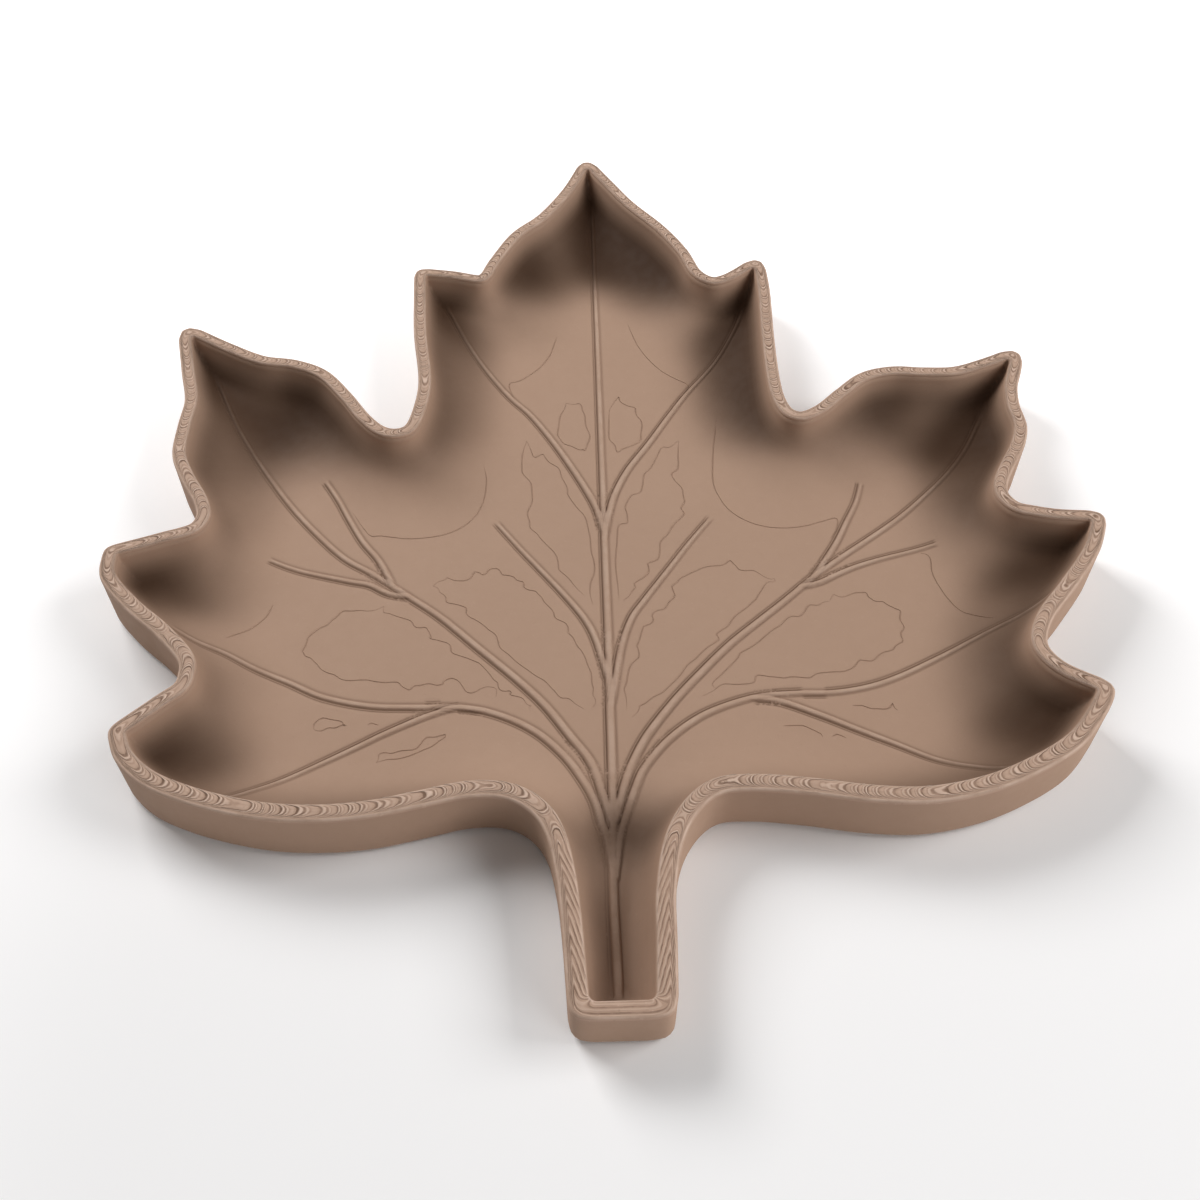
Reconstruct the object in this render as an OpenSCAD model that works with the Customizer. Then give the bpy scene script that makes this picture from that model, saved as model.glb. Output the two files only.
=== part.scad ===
// Leaf shaped serving tray: a shallow lobed dish with a coved wall, a crowned rim band,
// a short open stem channel and raised, tapering veins on the floor.
// Millimetres, +Z up, top lobe toward +Y, stem toward -Y, resting on Z = 0.

/* [Leaf] */
// Overall width across the side lobes
leaf_w = 300; // [240:5:380]
// Overall length from the stem end to the tip of the top lobe
leaf_l = 350; // [290:5:440]
// Inner radius where two edges of a lobe meet at its tip
tip_r = 0.8; // [0.6:0.1:1.6]
// Inner radius of the two corners at the end of the stem
stem_corner_r = 2; // [1:0.2:4]

/* [Wall] */
// Height of the rim nearest the middle of the leaf
notch_h = 17.4; // [13:0.2:24]
// Extra height of the rim at the tip of the top lobe
tip_rise = 3; // [0:0.25:6]
// Drop of the rim from the root of the stem to its end
stem_drop = 2.6; // [0:0.2:4]
// Thickness of the floor
floor_t = 2.6; // [2:0.2:5]
// Width of the cove between the wall and the flat floor
cove_w = 26; // [16:1:32]
// Width of the same cove along the stem channel
stem_cove_w = 11; // [7:0.5:14]
// Radius of the edge the wall stands on
foot_r = 2.4; // [1:0.2:2.8]

/* [Rim] */
// Width of the rim
rim_w = 4.4; // [3.4:0.2:6]
// Rise of the rim's crown over its edges
crown_h = 0.5; // [0.2:0.1:1.2]
// Fall of the rim from its inner to its outer edge
rim_fall = 0.4; // [0:0.1:1.2]
// Share by which the rim widens from the middle of the leaf toward the stem
rim_flare = 0.17; // [0:0.01:0.3]
// Thickness of the band along the rim
band_t = 0.8; // [0.5:0.1:1.6]
// Bevel along both edges of the band
band_bevel = 0.5; // [0.2:0.1:0.9]

/* [Veins] */
// Width of the midrib at the stem
midrib_w = 3.2; // [2:0.2:4]
// Height of the midrib at the stem
midrib_h = 1.5; // [0.8:0.1:2.4]
// Width of a side vein at its root
vein_w = 2.7; // [1.6:0.1:3]
// Height of a side vein at its root
vein_h = 1.2; // [0.6:0.1:2]
// Width of every vein at its tip
vein_tip_w = 0.9; // [0.5:0.1:1.4]
// Height of every vein at its tip
vein_tip_h = 0.4; // [0.2:0.1:0.8]
// Clearance between a vein and the floor it sits on
vein_seat = 0.3; // [0.2:0.05:0.4]

/* [Hidden] */

// Longest straight step along the edge of the leaf, and along a vein
edge_step = leaf_w / 30;
vein_step = leaf_w / 26;
// Straight steps round one corner
fan_n = 5;
// How far the outside of a corner is drawn out from round to square
stem_square_share = 0.7;
tip_square_share = 0.5;

// Places are shares of the half width and the half length inside the rim.
half = [leaf_w / 2 - rim_w, leaf_l / 2 - rim_w];
function place(share) = [share.x * half.x, share.y * half.y];

// The point every section of the dish is drawn through, and the root of the stem
hub_share = [-0.04, -0.57];
stem_root_share = [-0.01, -0.72];
stem_end_share = [-0.01, -1];
top_tip_share = [-0.015, 1];
hub = place(hub_share);

// Inner edge of the rim, counterclockwise from the stem, one run from tip to tip
right_lower_shares = [
    [0.04, -1], [0.045, -0.92], [0.05, -0.84], [0.07, -0.76], [0.11, -0.7], [0.165, -0.665],
    [0.24, -0.66], [0.34, -0.67], [0.44, -0.685], [0.54, -0.69], [0.64, -0.675], [0.73, -0.645],
    [0.81, -0.605], [0.865, -0.555]
];
right_side_shares = [
    [0.89, -0.525], [0.83, -0.49], [0.8, -0.45], [0.8, -0.41], [0.83, -0.36], [0.89, -0.3],
    [0.965, -0.22]
];
right_upper_shares = [
    [1, -0.16], [0.94, -0.155], [0.89, -0.145], [0.845, -0.13], [0.82, -0.095], [0.825, -0.055],
    [0.855, -0.005], [0.89, 0.045], [0.91, 0.095], [0.91, 0.15], [0.92, 0.205], [0.94, 0.25]
];
right_shoulder_shares = [
    [0.955, 0.285], [0.89, 0.26], [0.82, 0.24], [0.745, 0.24], [0.675, 0.245], [0.61, 0.23],
    [0.55, 0.185], [0.495, 0.14], [0.445, 0.12], [0.405, 0.135], [0.385, 0.18], [0.38, 0.25],
    [0.385, 0.38], [0.395, 0.52]
];
right_crown_shares = [
    [0.395, 0.605], [0.33, 0.56], [0.28, 0.55], [0.235, 0.585], [0.205, 0.665], [0.155, 0.75],
    [0.08, 0.845], [0.03, 0.925]
];
left_crown_shares = [
    top_tip_share, [-0.06, 0.9], [-0.125, 0.8], [-0.195, 0.73], [-0.245, 0.64], [-0.27, 0.585],
    [-0.3, 0.57], [-0.365, 0.585]
];
left_shoulder_shares = [
    [-0.43, 0.595], [-0.425, 0.52], [-0.415, 0.4], [-0.395, 0.265], [-0.4, 0.18], [-0.42, 0.115],
    [-0.46, 0.095], [-0.505, 0.105], [-0.55, 0.145], [-0.6, 0.21], [-0.655, 0.27], [-0.72, 0.3],
    [-0.8, 0.315], [-0.885, 0.355]
];
left_upper_shares = [
    [-0.975, 0.405], [-0.945, 0.3], [-0.92, 0.215], [-0.92, 0.14], [-0.915, 0.065],
    [-0.885, 0.005], [-0.845, -0.055], [-0.83, -0.1], [-0.85, -0.14], [-0.92, -0.165]
];
left_side_shares = [
    [-1, -0.19], [-0.99, -0.235], [-0.93, -0.295], [-0.86, -0.35], [-0.8, -0.41], [-0.79, -0.455],
    [-0.8, -0.485], [-0.83, -0.51]
];
left_lower_shares = [
    [-0.89, -0.56], [-0.87, -0.595], [-0.825, -0.63], [-0.765, -0.655], [-0.695, -0.675],
    [-0.615, -0.69], [-0.53, -0.695], [-0.445, -0.69], [-0.36, -0.675], [-0.28, -0.66],
    [-0.215, -0.66], [-0.165, -0.675], [-0.125, -0.705], [-0.1, -0.745], [-0.085, -0.8],
    [-0.075, -0.87]
];
stem_end_shares = [[-0.065, -1], [-0.045, -1], [-0.0125, -1], [0.02, -1]];
edge_shares = [
    right_lower_shares, right_side_shares, right_upper_shares, right_shoulder_shares,
    right_crown_shares, left_crown_shares, left_shoulder_shares, left_upper_shares,
    left_side_shares, left_lower_shares, stem_end_shares
];

// Where one lobe ends and the next begins, counterclockwise from the root of the stem
notch_shares = [
    [0.2, -0.66], [0.8, -0.42], [0.82, -0.08], [0.445, 0.12],
    [-0.46, 0.095], [-0.835, -0.08], [-0.79, -0.45], [-0.26, -0.66]
];

// Reach of each ring of a lobe from the hub, and of the rings of the floor panel
panel_shares = [0.24, 0.5];
lobe_shares = [0.5, 0.64, 0.76, 0.85, 0.92, 0.965, 1];

// Crest line of each vein from root to tip
midrib_shares = [
    [-0.015, -0.965], [-0.02, -0.85], [-0.015, -0.72], [-0.01, -0.6], [-0.01, -0.45], [-0.01, -0.3],
    [-0.005, -0.1], [-0.005, 0.1], [-0.005, 0.3], [-0.005, 0.5], [-0.005, 0.7], [-0.005, 0.86],
    [-0.005, 0.93]
];
right_lower_path_shares = [
    [0.01, -0.685], [0.03, -0.63], [0.05, -0.59], [0.095, -0.54], [0.15, -0.5], [0.205, -0.475],
    [0.28, -0.455], [0.36, -0.45], [0.43, -0.45], [0.5, -0.44], [0.565, -0.42], [0.65, -0.385],
    [0.74, -0.35], [0.845, -0.315]
];
right_lower_branch_shares = [
    [0.33, -0.47], [0.395, -0.495], [0.46, -0.525], [0.535, -0.56], [0.6, -0.595], [0.665, -0.62],
    [0.72, -0.635]
];
right_upper_path_shares = [
    [0.015, -0.615], [0.03, -0.575], [0.06, -0.525], [0.115, -0.46], [0.17, -0.405],
    [0.235, -0.345], [0.3, -0.295], [0.36, -0.25], [0.43, -0.195], [0.495, -0.15], [0.565, -0.105],
    [0.64, -0.055], [0.705, -0.005], [0.77, 0.05], [0.83, 0.115], [0.885, 0.195]
];
right_outer_shares = [[0.44, -0.21], [0.48, -0.19], [0.53, -0.17], [0.6, -0.15], [0.71, -0.125]];
right_inner_shares = [[0.475, -0.14], [0.495, -0.11], [0.525, -0.06], [0.555, -0.01], [0.575, 0.04]];
right_short_shares = [
    [0.015, -0.35], [0.04, -0.28], [0.07, -0.24], [0.105, -0.195], [0.14, -0.15], [0.175, -0.105],
    [0.23, -0.04]
];
right_crown_path_shares = [
    [0.02, 0.025], [0.055, 0.095], [0.105, 0.165], [0.155, 0.24], [0.205, 0.31], [0.25, 0.36],
    [0.285, 0.4], [0.32, 0.45], [0.35, 0.5], [0.37, 0.555]
];
left_lower_path_shares = [
    [-0.035, -0.695], [-0.045, -0.655], [-0.065, -0.615], [-0.1, -0.565], [-0.155, -0.515],
    [-0.225, -0.48], [-0.3, -0.46], [-0.39, -0.46], [-0.48, -0.455], [-0.57, -0.435],
    [-0.64, -0.405], [-0.71, -0.38], [-0.77, -0.355], [-0.835, -0.335]
];
left_lower_branch_shares = [
    [-0.365, -0.48], [-0.405, -0.495], [-0.45, -0.515], [-0.49, -0.535], [-0.56, -0.57],
    [-0.625, -0.605], [-0.69, -0.64]
];
left_upper_path_shares = [
    [-0.04, -0.61], [-0.055, -0.57], [-0.085, -0.53], [-0.135, -0.465], [-0.19, -0.41],
    [-0.27, -0.34], [-0.35, -0.27], [-0.42, -0.22], [-0.5, -0.165], [-0.565, -0.125],
    [-0.63, -0.065], [-0.695, 0.005], [-0.75, 0.075], [-0.805, 0.15], [-0.855, 0.225],
    [-0.915, 0.335]
];
left_outer_shares = [[-0.475, -0.205], [-0.505, -0.19], [-0.55, -0.18], [-0.65, -0.155], [-0.725, -0.13]];
left_inner_shares = [[-0.48, -0.15], [-0.53, -0.085], [-0.565, -0.03], [-0.595, 0.02], [-0.63, 0.07]];
left_short_shares = [
    [-0.035, -0.32], [-0.055, -0.28], [-0.095, -0.225], [-0.14, -0.17], [-0.19, -0.11],
    [-0.245, -0.04]
];
left_crown_path_shares = [
    [-0.03, 0.01], [-0.08, 0.11], [-0.12, 0.18], [-0.17, 0.255], [-0.215, 0.305], [-0.26, 0.365],
    [-0.3, 0.425], [-0.34, 0.49], [-0.385, 0.565]
];

// Section of a vein: shares of its half width and of its height, from one foot to the other
vein_section_shares = [[-1, 0], [-0.72, 0.6], [0, 1], [0.72, 0.6], [1, 0]];

function turn(a) = [cos(a), sin(a)];
function heading(v) = atan2(v.y, v.x);
function last(list) = list[len(list) - 1];
function flat(lists) = [for (list = lists) each list];

// Point at share t between b and c of the smooth curve through a, b, c and d
function bend(a, b, c, d, t) =
    b + ((c - a) * t + (2 * a - 5 * b + 4 * c - d) * t * t + (3 * b - a - 3 * c + d) * t * t * t) / 2;

// Smooth curve through places, in steps no longer than step, without its last point
function curve(places, step) = [
    for (i = [0 : len(places) - 2])
        let (
            a = places[max(0, i - 1)],
            b = places[i],
            c = places[i + 1],
            d = places[min(len(places) - 1, i + 2)],
            n = ceil(norm(c - b) / step)
        )
        for (k = [0 : n - 1]) bend(a, b, c, d, k / n)
];

// Share of the way from the root of the stem to its end
stem_root_y = place(stem_root_share).y;
stem_end_y = place(stem_end_share).y;
function stem_share(p) = max(0, (stem_root_y - p.y) / (stem_root_y - stem_end_y));

// The rim widens toward the stem, but the bar at the stem's end keeps the plain width.
function widened(p, way) =
    let (extra = rim_flare * max(0, -p.y) / half.y)
    [way.x * (1 + extra), way.y * (1 + extra * (1 - stem_share(p)))];

// Edge points carry the inner point and the way out across the rim, one rim width long.
function corner(before, tip, after, r, square_share) =
    let (
        a = heading(tip - before) - 90,
        raw = heading(after - tip) - 90 - a,
        sweep = raw < 0 ? raw + 360 : raw,
        out = turn(a) + turn(a + sweep),
        centre = tip - r * out * 2 / (out * out)
    )
    [
        for (k = [0 : fan_n])
            let (way = turn(a + sweep * k / fan_n), off = min(k, fan_n - k) * sweep / fan_n)
            [centre + r * way, widened(tip, way) * (1 + square_share * (1 / cos(off) - 1))]
    ];
function along(before, at, after) = [at, widened(at, turn(heading(after - before) - 90))];

edge_places = [for (run = edge_shares) [for (share = run) place(share)]];
runs = [
    for (i = [0 : len(edge_places) - 1])
        curve(concat(edge_places[i], [edge_places[(i + 1) % len(edge_places)][0]]), edge_step)
];
edge = flat([
    for (i = [0 : len(runs) - 1])
        let (
            run = runs[i],
            next = runs[(i + 1) % len(runs)][0],
            before = last(runs[(i + len(runs) - 1) % len(runs)]),
            at_stem = i == 0 || i == len(runs) - 1,
            n = len(run)
        )
        concat(
            corner(
                before, run[0], n > 1 ? run[1] : next,
                at_stem ? stem_corner_r : tip_r,
                at_stem ? stem_square_share : tip_square_share
            ),
            n > 1 ? [for (k = [1 : n - 1]) along(run[k - 1], run[k], k < n - 1 ? run[k + 1] : next)] : []
        )
]);
spokes = len(edge);

// Height of the rim's edges over the table, rising toward the tips and falling along the stem
tip_reach = norm(place(top_tip_share) - hub);
function rim_z(p) = notch_h + tip_rise * norm(p - hub) / tip_reach - stem_drop * stem_share(p);

// Distance from p to the inner edge of the rim
function side_gap(p, a, b) =
    let (side = b - a, t = max(0, min(1, (p - a) * side / (side * side))))
    norm(p - a - side * t);
function edge_gap(p) =
    min([for (i = [0 : spokes - 1]) side_gap(p, edge[i][0], edge[(i + 1) % spokes][0])]);

// The cove narrows over the first half of the stem.
function cove_at(p) =
    let (t = min(1, stem_share(p) * 2))
    cove_w + (stem_cove_w - cove_w) * t * t * (3 - 2 * t);

// Height of the floor and its cove: a quarter ellipse from the flat floor up to the rim
function dish_z(p) =
    let (rest = 1 - min(1, edge_gap(p) / cove_at(p)), top = rim_z(p) - band_t)
    floor_t + (top - floor_t) * (1 - sqrt(1 - rest * rest));

function ring_point(i, share) = hub + (edge[i][0] - hub) * share;
function rim_point(i, out) = edge[i][0] + edge[i][1] * out;
function fall(out) = rim_fall * out / rim_w;
function at_z(p, z) = [p.x, p.y, z];

// Faces between two loops of n points that start at points a and b
function strip(a, b, n) = [
    for (j = [0 : n - 1])
        let (k = (j + 1) % n)
        each [[a + j, b + j, b + k], [a + j, b + k, a + k]]
];

// Solid drawn through a list of closed sections; its ends are fans from their pivot point
module loft(sections, pivot, ring) {
    n = len(sections[0]);
    m = len(sections);
    sides = flat([
        for (i = [0 : ring ? m - 1 : m - 2]) strip(i * n, ((i + 1) % m) * n, n)
    ]);
    ends = ring ? [] : [
        for (j = [1 : n - 2])
            let (a = (pivot + j) % n, b = (pivot + j + 1) % n)
            each [[pivot, a, b], [(m - 1) * n + pivot, (m - 1) * n + b, (m - 1) * n + a]]
    ];
    polyhedron(points = flat(sections), faces = concat(sides, ends));
}

// Section of a lobe on one spoke: under the floor, over the cove, across the rim and down
function lobe_section(i) =
    let (
        inner = edge[i][0],
        top = rim_z(inner) - band_t,
        side = foot_r * (1 - cos(45))
    )
    concat(
        [at_z(inner, 0), at_z(ring_point(i, lobe_shares[0]), 0)],
        [for (share = lobe_shares) let (p = ring_point(i, share)) at_z(p, share < 1 ? dish_z(p) : top)],
        [
            at_z(rim_point(i, rim_w / 2), top + crown_h - fall(rim_w / 2)),
            at_z(rim_point(i, rim_w), top - fall(rim_w)),
            at_z(rim_point(i, rim_w), foot_r),
            at_z(rim_point(i, rim_w - side), side),
            at_z(rim_point(i, rim_w - foot_r), 0)
        ]
    );

function nearest(share) =
    let (gaps = [for (e = edge) norm(e[0] - place(share))], least = min(gaps))
    [for (i = [0 : spokes - 1]) if (gaps[i] == least) i][0];

module lobe(k) {
    first = nearest(notch_shares[k]);
    end = nearest(notch_shares[(k + 1) % len(notch_shares)]);
    count = (end + spokes - first) % spokes;
    loft([for (s = [0 : count]) lobe_section((first + s) % spokes)], 0, false);
}

module floor_panel() {
    color("tan") {
        rings = [
            for (share = panel_shares)
                [for (i = [0 : spokes - 1]) let (p = ring_point(i, share)) at_z(p, dish_z(p))]
        ];
        under = [for (i = [0 : spokes - 1]) at_z(ring_point(i, last(panel_shares)), 0)];
        points = concat(flat(rings), under, [at_z(hub, dish_z(hub)), at_z(hub, 0)]);
        low = len(rings) * spokes;
        polyhedron(
            points = points,
            faces = concat(
                flat([for (r = [0 : len(rings) - 1]) strip((r + 1) * spokes, r * spokes, spokes)]),
                [for (i = [0 : spokes - 1]) [low + spokes, (i + 1) % spokes, i]],
                [for (i = [0 : spokes - 1]) [low + spokes + 1, low + i, low + (i + 1) % spokes]]
            )
        );
    }
}

// Section of the band: distance out from the inner edge, and height over its underside
band_section = [
    [0, 0],
    [0, band_t - band_bevel],
    [band_bevel, band_t],
    [rim_w / 2, band_t + crown_h],
    [rim_w - band_bevel, band_t],
    [rim_w, band_t - band_bevel],
    [rim_w, 0],
    [rim_w / 2, crown_h]
];

// Crowned band that closes the top of the wall all the way round
module rim_band() {
    color("wheat") loft([
        for (i = [0 : spokes - 1])
            let (low = rim_z(edge[i][0]) - band_t)
            [
                for (q = band_section)
                    at_z(rim_point(i, q.x), low + q.y - fall(q.x))
            ]
    ], 0, true);
}

// Tapering ridge that follows the floor and runs up the cove
module vein(path_shares, root_w, root_h) {
    places = [for (share = path_shares) place(share)];
    path = concat(curve(places, vein_step), [last(places)]);
    n = len(path);
    color("sienna") loft([
        for (i = [0 : n - 1])
            let (
                t = i / (n - 1),
                w = root_w + (vein_tip_w - root_w) * t,
                h = root_h + (vein_tip_h - root_h) * t,
                side = turn(heading(path[min(n - 1, i + 1)] - path[max(0, i - 1)]) - 90)
            )
            [
                for (s = vein_section_shares)
                    let (p = path[i] + side * s.x * w / 2)
                    at_z(p, dish_z(p) + vein_seat + h * s.y)
            ]
    ], 0, false);
}

module stem_channel() { color("peru") lobe(7); }
module right_lower_lobe() { color("tan") lobe(0); }
module right_side_lobe() { color("burlywood") lobe(1); }
module right_upper_lobe() { color("tan") lobe(2); }
module crown_lobe() { color("burlywood") lobe(3); }
module left_upper_lobe() { color("tan") lobe(4); }
module left_side_lobe() { color("burlywood") lobe(5); }
module left_lower_lobe() { color("tan") lobe(6); }
module midrib() { vein(midrib_shares, midrib_w, midrib_h); }
module right_lower_vein() { vein(right_lower_path_shares, vein_w, vein_h); }
module right_lower_branch() { vein(right_lower_branch_shares, vein_w, vein_h); }
module right_upper_vein() { vein(right_upper_path_shares, vein_w, vein_h); }
module right_outer_branch() { vein(right_outer_shares, vein_w, vein_h); }
module right_inner_branch() { vein(right_inner_shares, vein_w, vein_h); }
module right_short_vein() { vein(right_short_shares, vein_w, vein_h); }
module right_crown_vein() { vein(right_crown_path_shares, vein_w, vein_h); }
module left_lower_vein() { vein(left_lower_path_shares, vein_w, vein_h); }
module left_lower_branch() { vein(left_lower_branch_shares, vein_w, vein_h); }
module left_upper_vein() { vein(left_upper_path_shares, vein_w, vein_h); }
module left_outer_branch() { vein(left_outer_shares, vein_w, vein_h); }
module left_inner_branch() { vein(left_inner_shares, vein_w, vein_h); }
module left_short_vein() { vein(left_short_shares, vein_w, vein_h); }
module left_crown_vein() { vein(left_crown_path_shares, vein_w, vein_h); }

floor_panel();
stem_channel();
right_lower_lobe();
right_side_lobe();
right_upper_lobe();
crown_lobe();
left_upper_lobe();
left_side_lobe();
left_lower_lobe();
rim_band();
midrib();
right_lower_vein();
right_lower_branch();
right_upper_vein();
right_outer_branch();
right_inner_branch();
right_short_vein();
right_crown_vein();
left_lower_vein();
left_lower_branch();
left_upper_vein();
left_outer_branch();
left_inner_branch();
left_short_vein();
left_crown_vein();
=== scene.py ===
"""Leaf shaped serving tray dressed for a studio picture.

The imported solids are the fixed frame. This file builds the moulded dish with its raised veins,
the grained rim band and the fine line drawing on the floor, and gives each its finish.
Plans are worked out in millimetres and turned into metres when a mesh is made.
"""

import logging
import math
from dataclasses import dataclass
from enum import Enum

import bpy
import numpy as np
from mathutils import Matrix, Vector, geometry, kdtree


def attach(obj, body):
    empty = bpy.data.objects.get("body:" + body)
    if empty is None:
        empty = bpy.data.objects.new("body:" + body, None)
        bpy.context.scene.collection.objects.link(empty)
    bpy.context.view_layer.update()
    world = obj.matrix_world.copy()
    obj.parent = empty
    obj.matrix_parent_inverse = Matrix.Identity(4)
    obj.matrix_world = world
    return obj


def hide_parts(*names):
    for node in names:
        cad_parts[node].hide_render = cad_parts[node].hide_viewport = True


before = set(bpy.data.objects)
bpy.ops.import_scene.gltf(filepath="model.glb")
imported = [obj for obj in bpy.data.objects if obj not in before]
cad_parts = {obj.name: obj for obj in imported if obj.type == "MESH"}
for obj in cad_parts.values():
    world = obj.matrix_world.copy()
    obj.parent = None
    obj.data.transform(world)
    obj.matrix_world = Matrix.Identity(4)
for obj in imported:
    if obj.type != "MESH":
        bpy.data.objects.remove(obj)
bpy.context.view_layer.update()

MM = 0.001
TURN = 2 * math.pi
TINY = 1e-12
LOG = logging.getLogger("leaf_tray")

Array = np.ndarray
Pair = tuple[float, float]
Place = tuple[float, float, float]
Colour = tuple[float, float, float, float]
Face = tuple[int, ...]
Piece = bpy.types.Object
Socket = bpy.types.NodeSocket


class Slot(Enum):
    """Material slots of the record."""

    BODY = "body"
    RIM = "rim"


class Line(Enum):
    """How a drawn line on the floor runs."""

    SWEEP = "sweep"
    OPEN = "open"
    CLOSED = "closed"


@dataclass(frozen=True)
class TraySizes:
    """Sizes of the tray in millimetres, as in the solid model."""

    leaf_w: float = 300.0
    leaf_l: float = 350.0
    tip_r: float = 0.8
    stem_corner_r: float = 2.0
    notch_h: float = 17.4
    tip_rise: float = 3.0
    stem_drop: float = 2.6
    floor_t: float = 2.6
    cove_w: float = 26.0
    stem_cove_w: float = 11.0
    foot_r: float = 2.4
    rim_w: float = 4.4
    crown_h: float = 0.5
    band_t: float = 0.8
    band_bevel: float = 0.5
    stem_square: float = 0.7
    tip_square: float = 0.5
    rim_fall: float = 0.4
    rim_flare: float = 0.17


# Inner edge of the rim as shares of the half width and the half length, one run from tip to tip
EDGE_RUNS = {
    "right_lower": (
        (0.04, -1), (0.045, -0.92), (0.05, -0.84), (0.07, -0.76), (0.11, -0.7), (0.165, -0.665),
        (0.24, -0.66), (0.34, -0.67), (0.44, -0.685), (0.54, -0.69), (0.64, -0.675), (0.73, -0.645),
        (0.81, -0.605), (0.865, -0.555),
    ),
    "right_side": (
        (0.89, -0.525), (0.83, -0.49), (0.8, -0.45), (0.8, -0.41), (0.83, -0.36), (0.89, -0.3),
        (0.965, -0.22),
    ),
    "right_upper": (
        (1, -0.16), (0.94, -0.155), (0.89, -0.145), (0.845, -0.13), (0.82, -0.095), (0.825, -0.055),
        (0.855, -0.005), (0.89, 0.045), (0.91, 0.095), (0.91, 0.15), (0.92, 0.205), (0.94, 0.25),
    ),
    "right_shoulder": (
        (0.955, 0.285), (0.89, 0.26), (0.82, 0.24), (0.745, 0.24), (0.675, 0.245), (0.61, 0.23),
        (0.55, 0.185), (0.495, 0.14), (0.445, 0.12), (0.405, 0.135), (0.385, 0.18), (0.38, 0.25),
        (0.385, 0.38), (0.395, 0.52),
    ),
    "right_crown": (
        (0.395, 0.605), (0.33, 0.56), (0.28, 0.55), (0.235, 0.585), (0.205, 0.665), (0.155, 0.75),
        (0.08, 0.845), (0.03, 0.925),
    ),
    "left_crown": (
        (-0.015, 1), (-0.06, 0.9), (-0.125, 0.8), (-0.195, 0.73), (-0.245, 0.64), (-0.27, 0.585),
        (-0.3, 0.57), (-0.365, 0.585),
    ),
    "left_shoulder": (
        (-0.43, 0.595), (-0.425, 0.52), (-0.415, 0.4), (-0.395, 0.265), (-0.4, 0.18), (-0.42, 0.115),
        (-0.46, 0.095), (-0.505, 0.105), (-0.55, 0.145), (-0.6, 0.21), (-0.655, 0.27), (-0.72, 0.3),
        (-0.8, 0.315), (-0.885, 0.355),
    ),
    "left_upper": (
        (-0.975, 0.405), (-0.945, 0.3), (-0.92, 0.215), (-0.92, 0.14), (-0.915, 0.065), (-0.885, 0.005),
        (-0.845, -0.055), (-0.83, -0.1), (-0.85, -0.14), (-0.92, -0.165),
    ),
    "left_side": (
        (-1, -0.19), (-0.99, -0.235), (-0.93, -0.295), (-0.86, -0.35), (-0.8, -0.41), (-0.79, -0.455),
        (-0.8, -0.485), (-0.83, -0.51),
    ),
    "left_lower": (
        (-0.89, -0.56), (-0.87, -0.595), (-0.825, -0.63), (-0.765, -0.655), (-0.695, -0.675),
        (-0.615, -0.69), (-0.53, -0.695), (-0.445, -0.69), (-0.36, -0.675), (-0.28, -0.66),
        (-0.215, -0.66), (-0.165, -0.675), (-0.125, -0.705), (-0.1, -0.745), (-0.085, -0.8),
        (-0.075, -0.87),
    ),
    "stem_end": ((-0.065, -1), (-0.045, -1), (-0.0125, -1), (0.02, -1)),
}
STEM_CORNERS = ("right_lower", "stem_end")

# Where the rim's grain meets itself between two tips
NOTCHES = (
    (0.165, -0.665), (0.8, -0.42), (0.82, -0.08), (0.43, 0.12), (0.28, 0.55), (-0.3, 0.57),
    (-0.44, 0.1), (-0.84, -0.09), (-0.79, -0.45), (-0.22, -0.66),
)

HUB = (-0.04, -0.57)
STEM_ROOT = (-0.01, -0.72)
STEM_END = (-0.01, -1.0)
TOP_TIP = (-0.015, 1.0)


@dataclass(frozen=True)
class Vein:
    """One raised vein: its crest line in shares, and its size at the root in millimetres."""

    name: str
    path: tuple[Pair, ...]
    width: float = 2.3
    height: float = 0.85


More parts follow.
